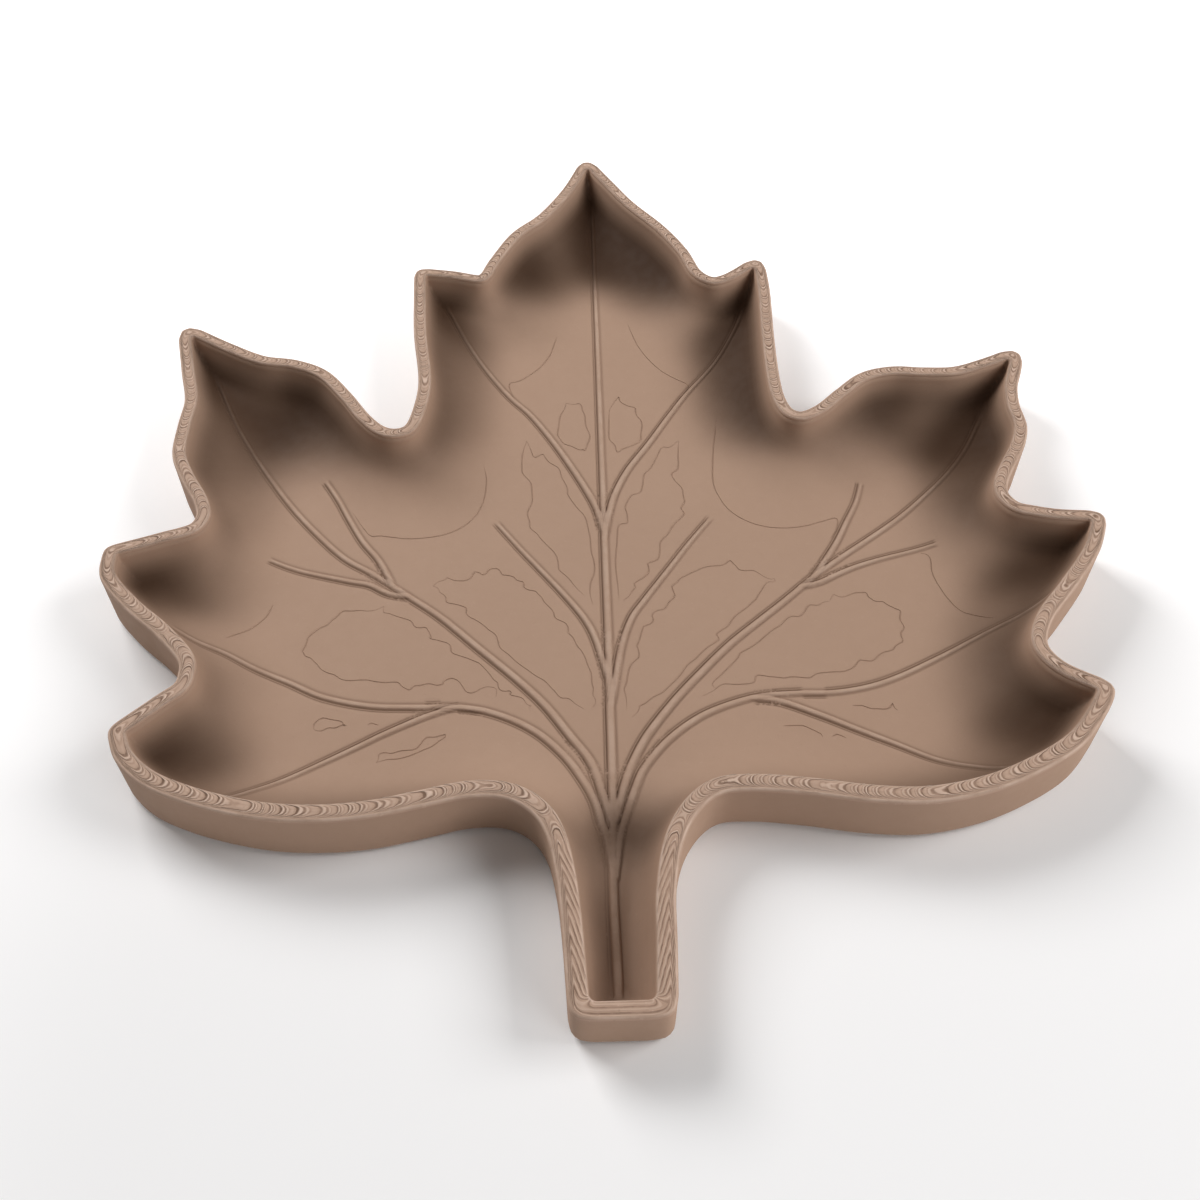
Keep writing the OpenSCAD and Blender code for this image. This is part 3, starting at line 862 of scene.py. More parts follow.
@dataclass(frozen=True)
class Cloud:
    """One noise: its cells for each metre, its detail and its roughness."""

    scale: float
    detail: float = 2.0
    rough: float = 0.5


WIDE = Cloud(22.0, 3.0)
FINE = Cloud(260.0, 4.0, 0.6)
DUST = Cloud(2600.0, 2.0, 0.6)
BRIGHT_SPECKS = Cloud(900.0, 1.0)
DEEP_SPECKS = Cloud(1100.0, 1.0)
PATCHES = Cloud(120.0, 4.0, 0.65)
RAGGED = Cloud(700.0, 3.0, 0.6)
BREAKS = Cloud(420.0, 2.0, 0.6)
STREAKS = Cloud(1.0, 3.0)


class NodeSheet:
    """Places nodes in a tree and links them, left to right."""

    STEP_X = 190
    STEP_Y = -160
    ROWS = 4

    def __init__(self, tree: bpy.types.NodeTree) -> None:
        """Starts on a shader or geometry node tree without nodes."""
        self.tree = tree
        tree.nodes.clear()

    def plug(self, socket: Socket, value: object) -> None:
        """Links a socket to an input, or sets a plain value on it.

        Args:
            socket: The input.
            value: Socket or plain value.
        """
        if isinstance(value, Socket):
            self.tree.links.new(value, socket)
        else:
            socket.default_value = value

    def add(self, kind: str, inputs: dict | None = None, **settings: object) -> bpy.types.Node:
        """Adds one node.

        Args:
            kind: Type name of the node.
            inputs: Values or sockets for its inputs, by name or number.
            settings: Properties set on the node first.

        Returns:
            The new node.
        """
        count = len(self.tree.nodes)
        node = self.tree.nodes.new(kind)
        node.location = (count * self.STEP_X, (count % self.ROWS) * self.STEP_Y)
        for name, value in settings.items():
            setattr(node, name, value)
        for key, value in (inputs or {}).items():
            self.plug(node.inputs[key], value)
        return node

    def out(self, kind: str, inputs: dict | None = None, **settings: object) -> Socket:
        """Adds one node and hands out its first output."""
        return self.add(kind, inputs, **settings).outputs[0]

    def math(self, operation: str, *values: object) -> Socket:
        """Result of one step of arithmetic on values or sockets."""
        return self.out("ShaderNodeMath", dict(enumerate(values)), operation=operation)

    def vector(self, operation: str, *values: object) -> Socket:
        """Does one step of arithmetic on vectors.

        Args:
            operation: Name of the step.
            values: Sockets or plain values for the inputs in use, in order.

        Returns:
            The result, a vector or a number.
        """
        node = self.add("ShaderNodeVectorMath", operation=operation)
        for socket, value in zip((s for s in node.inputs if s.enabled), values):
            self.plug(socket, value)
        return next(socket for socket in node.outputs if socket.enabled)

    def times(self, first: object, *others: object) -> Socket:
        """Multiplies values.

        Args:
            first: Socket or number.
            others: Sockets or numbers.

        Returns:
            The product.
        """
        for other in others:
            first = self.math("MULTIPLY", first, other)
        return first

    def blend(self, first: object, share: float, second: object) -> Socket:
        """Sum of a share of one value and the rest of another."""
        return self.math("ADD", self.times(first, share), self.times(second, 1 - share))

    def span(self, value: object, low: float, high: float, to_low: float = 0.0,
             to_high: float = 1.0) -> Socket:
        """Smoothly maps a value from one span to another.

        Args:
            value: Socket to map.
            low: Start of the span it comes from.
            high: End of that span.
            to_low: Result at the start.
            to_high: Result at the end.

        Returns:
            The mapped value.
        """
        given = {"Value": value, "From Min": low, "From Max": high, "To Min": to_low, "To Max": to_high}
        return self.out("ShaderNodeMapRange", given, interpolation_type="SMOOTHSTEP")

    def mix(self, share: object, first: object, second: object) -> Socket:
        """Mixes two colours.

        Args:
            share: How much of the second one shows.
            first: Colour under it.
            second: Colour over it.

        Returns:
            The mixed colour.
        """
        node = self.add("ShaderNodeMix", data_type="RGBA")
        keys = {socket.identifier: socket for socket in (*node.inputs, *node.outputs)}
        for key, value in (("Factor_Float", share), ("A_Color", first), ("B_Color", second)):
            self.plug(keys[key], value)
        return keys["Result_Color"]

    def where(self) -> Socket:
        """Place on the object."""
        return self.add("ShaderNodeTexCoord").outputs["Object"]

    def noise(self, cloud: Cloud, where: Socket | None = None) -> Socket:
        """Adds a noise.

        Args:
            cloud: Its settings.
            where: Vector that it is laid over, or none for the place on the object.

        Returns:
            The value of the noise.
        """
        given = {"Vector": self.where() if where is None else where, "Scale": cloud.scale,
                 "Detail": cloud.detail, "Roughness": cloud.rough}
        return self.add("ShaderNodeTexNoise", given).outputs["Fac"]

    def moved(self, where: Socket, **change: Place) -> Socket:
        """Vector shifted or stretched by a mapping."""
        return self.out("ShaderNodeMapping", {"Vector": where, **change})

    def mask(self, name: str) -> Socket:
        """Value of a stored mask on the piece."""
        return self.add("ShaderNodeAttribute", attribute_name=name).outputs["Fac"]

    def effect(self, tree: bpy.types.NodeTree, **inputs: object) -> bpy.types.NodeOutputs:
        """Outputs of a shared effect with its inputs given by name."""
        return self.add("ShaderNodeGroup", inputs, node_tree=tree).outputs


class EffectSheet(NodeSheet):
    """Sheet of a shader node group with named inputs and outputs."""

    def __init__(self, name: str, **inputs: object) -> None:
        """Starts the group.

        Args:
            name: Name of the group.
            inputs: Default value for each input; four numbers make a colour.
        """
        super().__init__(bpy.data.node_groups.new(name, "ShaderNodeTree"))
        for key, value in inputs.items():
            kind = "NodeSocketColor" if isinstance(value, tuple) else "NodeSocketFloat"
            socket = self.tree.interface.new_socket(key, in_out="INPUT", socket_type=kind)
            socket.default_value = value
        self.given = self.add("NodeGroupInput").outputs

    def close(self, **results: Socket) -> bpy.types.NodeTree:
        """Ends the group.

        Args:
            results: Socket that each output hands out, by name.

        Returns:
            The finished group.
        """
        for key, value in results.items():
            kind = "NodeSocketColor" if value.type == "RGBA" else "NodeSocketFloat"
            self.tree.interface.new_socket(key, in_out="OUTPUT", socket_type=kind)
        self.add("NodeGroupOutput", results)
        return self.tree


PLAIN = (0.5, 0.4, 0.3, 1.0)


class Effects:
    """Surface effects that several finishes share, each built once as a node group.

    GAPS and RIDGES are soft lines across one scallop: place, half width, strength and which part of
    the grain they show in.
    """

    CLOUD_EDGE = (0.3, 0.7)
    WIDE_SHARE = 0.6
    DUST_SHARE = 0.55
    SPECK_EDGE = (0.68, 0.76)
    SPECK_SHIFT = (0.37, 0.11, 0.73)
    GLOSS_DRIFT = (-0.03, 0.04)
    PATCH_SPAN = (0.35, 0.65, 0.35, 1.0)
    WORN_GLOSS = 0.12
    RAGGED_BY = 0.14
    SINGLE_SPAN = (0.0, 0.3, 1.0, 0.0)
    NEST_SPAN = (0.5, 1.0)
    BREAK_SPAN = (0.35, 0.6, 0.6, 1.0)
    LINE_CORE = 0.25
    GAPS = (
        (0.09, 0.11, 1.0, "outer"), (0.41, 0.085, 0.7, "nest"), (0.67, 0.05, 0.2, "nest"),
        (0.3, 0.2, 0.75, "single"),
    )
    RIDGES = (
        (0.26, 0.12, 1.0, "outer"), (0.55, 0.1, 0.65, "nest"), (0.82, 0.14, 0.25, "outer"),
        (0.72, 0.25, 0.55, "single"),
    )

    def __init__(self) -> None:
        """Builds all groups."""
        self.mottle = self.build_mottle()
        self.specks = self.build_specks()
        self.wear_and_painted_highlight = self.build_wear_and_painted_highlight()
        self.grain = self.build_grain()

    def build_mottle(self) -> bpy.types.NodeTree:
        """Soft cloudy changes of a moulding's colour, gloss and surface.

        Returns:
            The group.
        """
        sheet = EffectSheet("moulding_mottle", Light=PLAIN, Dark=PLAIN, Amount=0.5, Roughness=0.5)
        given = sheet.given
        wide, fine = (sheet.span(sheet.noise(cloud), *self.CLOUD_EDGE) for cloud in (WIDE, FINE))
        share = sheet.times(sheet.blend(wide, self.WIDE_SHARE, fine), given["Amount"])
        drift = sheet.span(fine, 0.0, 1.0, *self.GLOSS_DRIFT)
        return sheet.close(
            Colour=sheet.mix(share, given["Light"], given["Dark"]),
            Roughness=sheet.math("ADD", given["Roughness"], drift),
            Height=sheet.blend(sheet.noise(DUST), self.DUST_SHARE, fine),
        )

    def build_specks(self) -> bpy.types.NodeTree:
        """Small scattered specks, bright and dark.

        Returns:
            The group.
        """
        sheet = EffectSheet("moulding_specks", Colour=PLAIN, Bright=PLAIN, Deep=PLAIN, Amount=0.5)
        colour, amount = sheet.given["Colour"], sheet.given["Amount"]
        shifted = sheet.moved(sheet.where(), Location=self.SPECK_SHIFT)
        for key, cloud, where in (("Bright", BRIGHT_SPECKS, None), ("Deep", DEEP_SPECKS, shifted)):
            spots = sheet.span(sheet.noise(cloud, where), *self.SPECK_EDGE)
            colour = sheet.mix(sheet.times(spots, amount), colour, sheet.given[key])
        return sheet.close(Colour=colour)

    def build_wear_and_painted_highlight(self) -> bpy.types.NodeTree:
        """Edges lighter and smoother, broken up by noise: rubbed edges, and painted highlight on the
        vein crests and on one side of the floor lines.

        Returns:
            The group.
        """
        sheet = EffectSheet("edge_wear_and_painted_highlight", Colour=PLAIN, Worn=PLAIN, Edge=0.0, Amount=0.5, Roughness=0.5)
        given = sheet.given
        patches = sheet.span(sheet.noise(PATCHES), *self.PATCH_SPAN)
        share = sheet.times(given["Edge"], patches, given["Amount"])
        return sheet.close(
            Colour=sheet.mix(share, given["Colour"], given["Worn"]),
            Roughness=sheet.math("SUBTRACT", given["Roughness"], sheet.times(share, self.WORN_GLOSS)),
        )

    def build_grain(self) -> bpy.types.NodeTree:
        """Nested ridges and gaps from a phase that grows by one from each scallop to the next.

        Returns:
            The group.
        """
        sheet = EffectSheet("scallop_grain", Phase=0.0, Cover=1.0, Nest=1.0)
        given = sheet.given
        rough = sheet.times(sheet.math("SUBTRACT", sheet.noise(RAGGED), 0.5), self.RAGGED_BY)
        turn = sheet.math("FRACT", sheet.math("ADD", given["Phase"], rough))
        single = sheet.span(given["Nest"], *self.SINGLE_SPAN)
        parts = {
            "single": single,
            "outer": sheet.math("SUBTRACT", 1.0, single),
            "nest": sheet.span(given["Nest"], *self.NEST_SPAN),
        }

        def pulses(marks: tuple[tuple[float, float, float, str], ...]) -> Socket:
            """Adds soft lines up where the grain covers the rim.

            Args:
                marks: Place, half width, strength and part of the grain of each line.

            Returns:
                The sum.
            """
            total = 0.0
            for place, half, strength, part in marks:
                off = sheet.math("ABSOLUTE", sheet.math("SUBTRACT", turn, place))
                line = sheet.span(off, half * self.LINE_CORE, half, strength, 0.0)
                total = sheet.math("ADD", sheet.times(line, parts[part]), total)
            return sheet.times(total, given["Cover"])

        broken = sheet.span(sheet.noise(BREAKS), *self.BREAK_SPAN)
        gap, ridge = sheet.times(pulses(self.GAPS), broken), pulses(self.RIDGES)
        return sheet.close(Ridge=ridge, Gap=gap, Height=sheet.math("SUBTRACT", ridge, gap))


@dataclass(frozen=True)
class Finish:
    """Matte moulded plastic: its colours and how strongly each effect shows."""

    name: str
    light: Colour
    dark: Colour
    worn_and_painted_highlight: Colour
    deep: Colour
    roughness: float = 0.68
    mottle: float = 0.3
    specks: float = 0.07
    wear_and_painted_highlight: float = 0.5
    bump: float = 0.12
    bump_depth: float = 0.0002
    relief: float = 0.9
    relief_depth: float = 0.00014
    shine: float = 0.1
    ior: float = 1.5

    def build(self, effects: Effects) -> bpy.types.Material:
        """Builds the material.

        Args:
            effects: The shared node groups.

        Returns:
            The finished material.
        """
        material = bpy.data.materials.new(self.name)
        material.use_nodes = True
        material.diffuse_color = self.light
        sheet = NodeSheet(material.node_tree)
        mottle = sheet.effect(effects.mottle, Light=self.light, Dark=self.dark, Amount=self.mottle,
                              Roughness=self.roughness)
        specks = sheet.effect(effects.specks, Colour=mottle["Colour"], Bright=self.worn_and_painted_highlight,
                              Deep=self.deep, Amount=self.specks)
        colour, edge, relief = self.dress(sheet, effects, specks["Colour"])
        wear_and_painted_highlight = sheet.effect(effects.wear_and_painted_highlight, Colour=colour, Worn=self.worn_and_painted_highlight, Edge=edge,
                            Amount=self.wear_and_painted_highlight, Roughness=mottle["Roughness"])
        normal = sheet.out("ShaderNodeBump", {
            "Strength": self.bump, "Distance": self.bump_depth, "Height": mottle["Height"],
        })
        if relief is not None:
            normal = sheet.out("ShaderNodeBump", {
                "Strength": self.relief, "Distance": self.relief_depth, "Height": relief,
                "Normal": normal,
            })
        shader = sheet.out("ShaderNodeBsdfPrincipled", {
            "Base Color": wear_and_painted_highlight["Colour"], "Roughness": wear_and_painted_highlight["Roughness"], "Normal": normal,
            "IOR": self.ior, "Specular IOR Level": self.shine,
        })
        sheet.add("ShaderNodeOutputMaterial", {"Surface": shader})
        return material

    def dress(self, sheet: NodeSheet, effects: Effects,
              colour: Socket) -> tuple[Socket, Socket, Socket | None]:
        """Adds what only one kind of surface has.

        Args:
            sheet: Sheet of the material.
            effects: The shared node groups.
            colour: Colour so far.

        Returns:
            The colour, the mask of the rubbed edges and, where there is one, the relief.
        """
        raise NotImplementedError


@dataclass(frozen=True)
class DishFinish(Finish):
    """Finish of the dish: painted shade in the grooves and in the hollows of the lobes, painted
    highlight on the crests.
    """

    shade: Colour = (0.03, 0.011, 0.003, 1.0)
    hollow_show: float = 0.93
    groove_in_hollow: float = 0.1

    def dress(self, sheet: NodeSheet, effects: Effects, colour: Socket) -> tuple[Socket, Socket, None]:
        """Adds painted shade in grooves and hollows, and painted highlight on crests.

        Args:
            sheet: Sheet of the material.
            effects: The shared node groups, not used here.
            colour: Colour so far.

        Returns:
            The colour, the mask of the rubbed edges and no relief.
        """
        # Painted shade: darker in the grooves, turning toward the shade colour in the hollows of the
        # lobes.
        hollow = sheet.times(sheet.mask("hollow"), self.hollow_show)
        clear = sheet.span(hollow, 0.0, 1.0, 1.0, self.groove_in_hollow)
        groove = sheet.times(sheet.mask("groove"), clear)
        colour = sheet.mix(hollow, sheet.mix(groove, colour, self.deep), self.shade)
        # Painted highlight on the crests, less of it inside the painted shade.
        return colour, sheet.times(sheet.mask("crest"), sheet.math("SUBTRACT", 1.0, hollow)), None


@dataclass(frozen=True)
class RimFinish(Finish):
    """Finish of the rim: light nested ridges with darker gaps, and fine streaks along it."""

    ridge_show: float = 0.75
    gap_show: float = 0.95
    streak_show: float = 0.16
    streak_scale: Place = (160.0, 1500.0, 1.0)
    streak_span: Pair = (0.42, 0.62)

    def dress(self, sheet: NodeSheet, effects: Effects, colour: Socket) -> tuple[Socket, Socket, Socket]:
        """Adds streaks, ridges and gaps.

        Args:
            sheet: Sheet of the material.
            effects: The shared node groups.
            colour: Colour so far.

        Returns:
            The colour, the mask of the rubbed edges and the relief.
        """
        masks = {key: sheet.mask(key.lower()) for key in ("Phase", "Cover", "Nest")}
        grain = sheet.effect(effects.grain, **masks)
        lay = sheet.out("ShaderNodeUVMap", uv_map="along_rim")
        streak = sheet.noise(STREAKS, sheet.moved(lay, Scale=self.streak_scale))
        for share, show, over in (
            (sheet.span(streak, *self.streak_span), self.streak_show, self.deep),
            (grain["Ridge"], self.ridge_show, self.worn_and_painted_highlight),
            (grain["Gap"], self.gap_show, self.deep),
        ):
            colour = sheet.mix(sheet.times(share, show), colour, over)
        return colour, sheet.mask("crest"), grain["Height"]


@dataclass(frozen=True)
class LineFinish(Finish):
    """Finish of the fine floor lines: painted shade on the side toward the back left, painted highlight
    on the side in front.
    """

    painted_shade_span: tuple[float, float, float, float] = (-0.05, 0.4, 0.0, 0.2)
    painted_highlight_span: tuple[float, float, float, float] = (-0.7, 0.0, 0.6, 0.0)

    def dress(self, sheet: NodeSheet, effects: Effects, colour: Socket) -> tuple[Socket, Socket, None]:
        """Adds painted shade on one side and painted highlight on the other.

        Args:
            sheet: Sheet of the material.
            effects: The shared node groups, not used here.
            colour: Colour so far.

        Returns:
            The colour, the mask of the rubbed edges and no relief.
        """
        # Painted shade and painted highlight by which way each side of the bead faces.
        painted_light_side = sheet.mask("painted_light_side")
        colour = sheet.mix(sheet.span(painted_light_side, *self.painted_shade_span), colour, self.deep)
        return colour, sheet.span(painted_light_side, *self.painted_highlight_span), None


@dataclass
class VeinTree:
    """The raised veins as one relief on the dish, with a deep furrow on the left of each, and painted
    shade in their grooves, darker on the left.
    """

    plan: LeafPlan
    tip_w: float = 1.1
    tip_h: float = 0.26
    lift: float = 0.75
    groove_h: float = 0.28
    tip_groove: float = 0.9
    root_groove: float = 0.1
    stem_calm: float = 0.5
    deep: Bell = Bell(0.3, 0.3)
    second: Bell = Bell(0.95, 0.2, 0.85)
    soft: Bell = Bell(0.38, 0.4, 0.5)
    rib_end: Pair = (0.95, 1.0)
    groove_start: Pair = (0.0, 0.03)
    groove_end: Pair = (0.975, 1.0)
    crest_side: Pair = (0.62, 0.95)
    rib_clear: Pair = (0.3, 0.75)
    curve_step: float = 0.5
    row_step: float = 1.1
    row_least: float = 0.25
    row_offs: tuple[float, ...] = (-0.6, -0.28, -0.03, 0.12, 0.26, 0.42, 0.6, 0.78, 0.92, 1.1, 1.5, 2.4)
    margin: float = 6.0

    def __post_init__(self) -> None:
        """Samples the crest line of each vein."""
        self.tracks = [
            Track(smooth_curve(self.plan.place(vein.path), self.curve_step, whole=True), False)
            for vein in VEINS
        ]

    def taper(self, root: float, tip: float, share: Array) -> Array:
        """A size that changes evenly from a vein's root to its tip."""
        return root + (tip - root) * share

    def rows(self) -> Array:
        """Lays rows of points along every vein, for the dish mesh to follow.

        Returns:
            The points seen from above.
        """
        found = []
        for vein, track in zip(VEINS, self.tracks):
            at = np.linspace(0.0, track.length, max(2, round(track.length / self.row_step)))
            line = read_along(at, track.along, track.points)
            way = right_of(line)
            half = (vein.width + (self.tip_w - vein.width) * at / track.length) / 2
            wides = [np.maximum(half + off, self.row_least)[:, None] for off in self.row_offs]
            found += [line] + [line + way * wide * side for wide in wides for side in (-1, 1)]
        return np.vstack(found)

    def relief(self, places: Array) -> tuple[Array, Array, Array]:
        """Height of the veins over the dish.

        Args:
            places: Points seen from above.

        Returns:
            The relief in millimetres, a mask of painted shade in the grooves and a mask of painted
            highlight on the crests.
        """
        rib, groove, crest = np.zeros((3, len(places)))
        for vein, track in zip(VEINS, self.tracks):
            low, high = track.points.min(0) - self.margin, track.points.max(0) + self.margin
            near = np.flatnonzero(((places > low) & (places < high)).all(axis=1))
            reach = track.measure(places[near])
            share = reach.along / track.length
            half = self.taper(vein.width, self.tip_w, share) / 2
            fade = 1 - ease(*self.rib_end, share)
            across = np.clip(reach.gap / half, 0.0, 1.0)
            ridge = self.lift * self.taper(vein.height, self.tip_h, share) * fade * (1 - across**4)
            depth = self.groove_h * (self.tip_groove + self.root_groove * (1 - share))
            depth = depth * (1 - ease(*self.groove_end, share)) * ease(*self.groove_start, share)
            row = np.clip(np.searchsorted(track.along, reach.along) - 1, 0, len(track.sides) - 1)
            left = reach.side * track.sides[row, 1] > 0
            off = reach.gap - half
            sharp = np.maximum(self.deep.at(off), self.second.at(off))
            cut = depth * np.where(left, sharp, self.soft.at(off))
            top = fade * (1 - ease(*self.crest_side, across))
            for whole, part in ((rib, ridge), (groove, cut), (crest, top)):
                whole[near] = np.maximum(whole[near], part)
        groove *= 1 - ease(*self.rib_clear, rib)
        stem = ease(*self.plan.STEM_START, self.plan.stem_share(places))
        groove *= 1 - self.stem_calm * stem
        # The second value is painted shade in the grooves, darker on the left of each vein.
        return rib - groove, np.clip(groove / self.groove_h, 0.0, 1.0), crest


@dataclass
class DishShell:
    """The moulded dish: floor, coves and veins inside, wall and flat foot outside.

    Each room is the least distance of a new point to those already there, and to the border.
    """

    plan: LeafPlan
    veins: VeinTree
    edge_every: int = 2
    grid: float = 1.9
    grid_pitch: float = 0.866
    border_offs: tuple[float, ...] = (0.18, 0.5, 0.95, 1.6, 2.5, 3.6, 5.0)
    first_room: Pair = (0.12, 0.12)
    second_room: Pair = (0.25, 0.35)
    vein_room: Pair = (0.12, 0.6)
    border_room: Pair = (0.55, 0.7)
    grid_room: Pair = (1.25, 1.2)
    weld: float = 1e-6
    wall_rows: int = 7
    foot_rows: int = 6
    wall_from: float = 0.06
    hold: float = 0.2
    hold_rise: float = 15.0
    tuck: float = 0.03
    calm_gap: Pair = (0.5, 2.0)
    hollow_depth: Pair = (0.5, 10.0)
    crest_show: float = 0.8
    foot_wear: float = 0.5

    def field(self, border: Array, way: Array) -> Array:
        """Collects the points of the inside, seen from above.

        Args:
            border: Inner edge of the rim.
            way: Ways out across the rim at the border's points.

        Returns:
            All points, the border's first.
        """
        points = PointField(border)
        width, length = self.plan.half
        rows = [border - way * off for off in self.border_offs]
        across = np.arange(-width, width, self.grid)
        grid = [
            np.stack([across + self.grid / 2 * (k % 2), np.full(len(across), y)], axis=1)
            for k, y in enumerate(np.arange(-length, length, self.grid * self.grid_pitch))
        ]
        for wanted, (spacing, least) in (
            (rows[0], self.first_room), (rows[1], self.second_room),
            (self.veins.rows(), self.vein_room), (np.vstack(rows[2:]), self.border_room),
            (np.vstack(grid), self.grid_room),
        ):
            reach = self.plan.track.measure(wanted)
            points.add(wanted[(reach.side > 0) & (reach.gap > least)], spacing)
        return np.array(points.kept)

    def filled(self, points: Array, count: int) -> tuple[Array, list[Face], list[int]]:
        """Fills a closed border with triangles.

        Args:
            points: Points seen from above, the border's first.
            count: Points of the border.

        Returns:
            Points seen from above, faces, and the row of each point of the border.
        """
        made = geometry.delaunay_2d_cdt(
            [Vector(point) for point in points.tolist()], [], [list(range(count))], 1, self.weld
        )
        row_of = {source: row for row, sources in enumerate(made[3]) for source in sources}
        flat = np.array([tuple(point) for point in made[0]])
        return flat, [tuple(face) for face in made[2]], [row_of[i] for i in range(count)]

    def build(self) -> Piece:
        """Builds the closed shell of the dish.

        Returns:
            The dish as one mesh object with its masks.
        """
        loop = self.plan.loop
        border, way = loop.inner[:: self.edge_every], loop.way[:: self.edge_every]
        count = len(border)
        flat, faces, rows = self.filled(self.field(border, way), count)
        gap = self.plan.track.measure(flat).gap
        base = np.column_stack([flat, self.plan.dish_z(flat, gap)])
        top = self.plan.rim_z(border) - self.plan.sizes.band_t
        base[rows, 2] = top
        relief, groove, crest = self.veins.relief(flat)
        calm = ease(*self.calm_gap, gap)
        points = base + self.normals(base, faces) * (relief * calm)[:, None]
        rings = [np.column_stack([border + way * out, z]) for out, z in self.wall_profile(top)]
        spare = len(rings) * count
        index = rows + list(range(len(points), len(points) + spare))
        faces += [
            tuple(index[i] for i in face)
            for k in range(len(rings))
            for face in ring_strip(k * count, (k + 1) * count, count)
        ]
        _, under, found = self.filled(rings[-1][:, :2], count)
        foot = {row: spare + i for i, row in enumerate(found)}
        faces += [tuple(index[foot[i]] for i in reversed(face)) for face in under]
        piece = new_piece("dish", np.vstack([points] + rings), faces)
        # Painted shade in the hollows, fading out toward the rim.
        deep = ease(*self.hollow_depth, self.plan.rim_z(flat) - base[:, 2])
        wear_and_painted_highlight = np.zeros((len(rings), count))
        foot_edge = len(rings) - self.foot_rows
        wear_and_painted_highlight[foot_edge:foot_edge + 2] = self.foot_wear
        plain = np.zeros(spare)
        # Masks of painted shade in the grooves and the hollows, and of painted highlight on the vein
        # crests with a lighter foot edge.
        set_masks(
            piece,
            groove=np.concatenate([groove * calm, plain]),
            hollow=np.concatenate([self.plan.sample(self.plan.hollow, flat) * deep, plain]),
            crest=np.concatenate([crest * calm * self.crest_show, wear_and_painted_highlight.ravel()]),
        )
        return piece

    def wall_profile(self, top: Array) -> list[tuple[float, Array]]:
        """Rings of the outside from the top of the wall to the foot.

        Args:
            top: Height of the wall's top at each point of the border.

        Returns:
            The way out across the rim and the heights of each ring.
        """
        sizes = self.plan.sizes
        high = top - sizes.rim_fall
        rings = [(sizes.rim_w / 2, (top + high) / 2), (sizes.rim_w - self.hold, high)]
        shares = np.linspace(self.wall_from, 1.0, self.wall_rows)
        for share in (0.0, self.hold / self.hold_rise, *shares):
            rings.append((sizes.rim_w - self.tuck * (1 - share), high + (sizes.foot_r - high) * share))
        for k in range(1, self.foot_rows + 1):
            angle = math.pi / 2 * k / self.foot_rows
            out = sizes.rim_w - sizes.foot_r * (1 - math.cos(angle))
            rings.append((out, np.full(len(top), sizes.foot_r * (1 - math.sin(angle)))))
        return rings

    @staticmethod
    def normals(points: Array, faces: list[Face]) -> Array:
        """Directions of length one straight out of a triangle mesh at its points.

        Args:
            points: Points of the mesh.
            faces: Its triangles.

        Returns:
            One direction for each point.
        """
        corners = np.array(faces)
        a, b, c = (points[corners[:, k]] for k in range(3))
        total = np.zeros_like(points)
        for k in range(3):
            np.add.at(total, corners[:, k], np.cross(b - a, c - a))
        return total / np.maximum(np.linalg.norm(total, axis=1), TINY)[:, None]


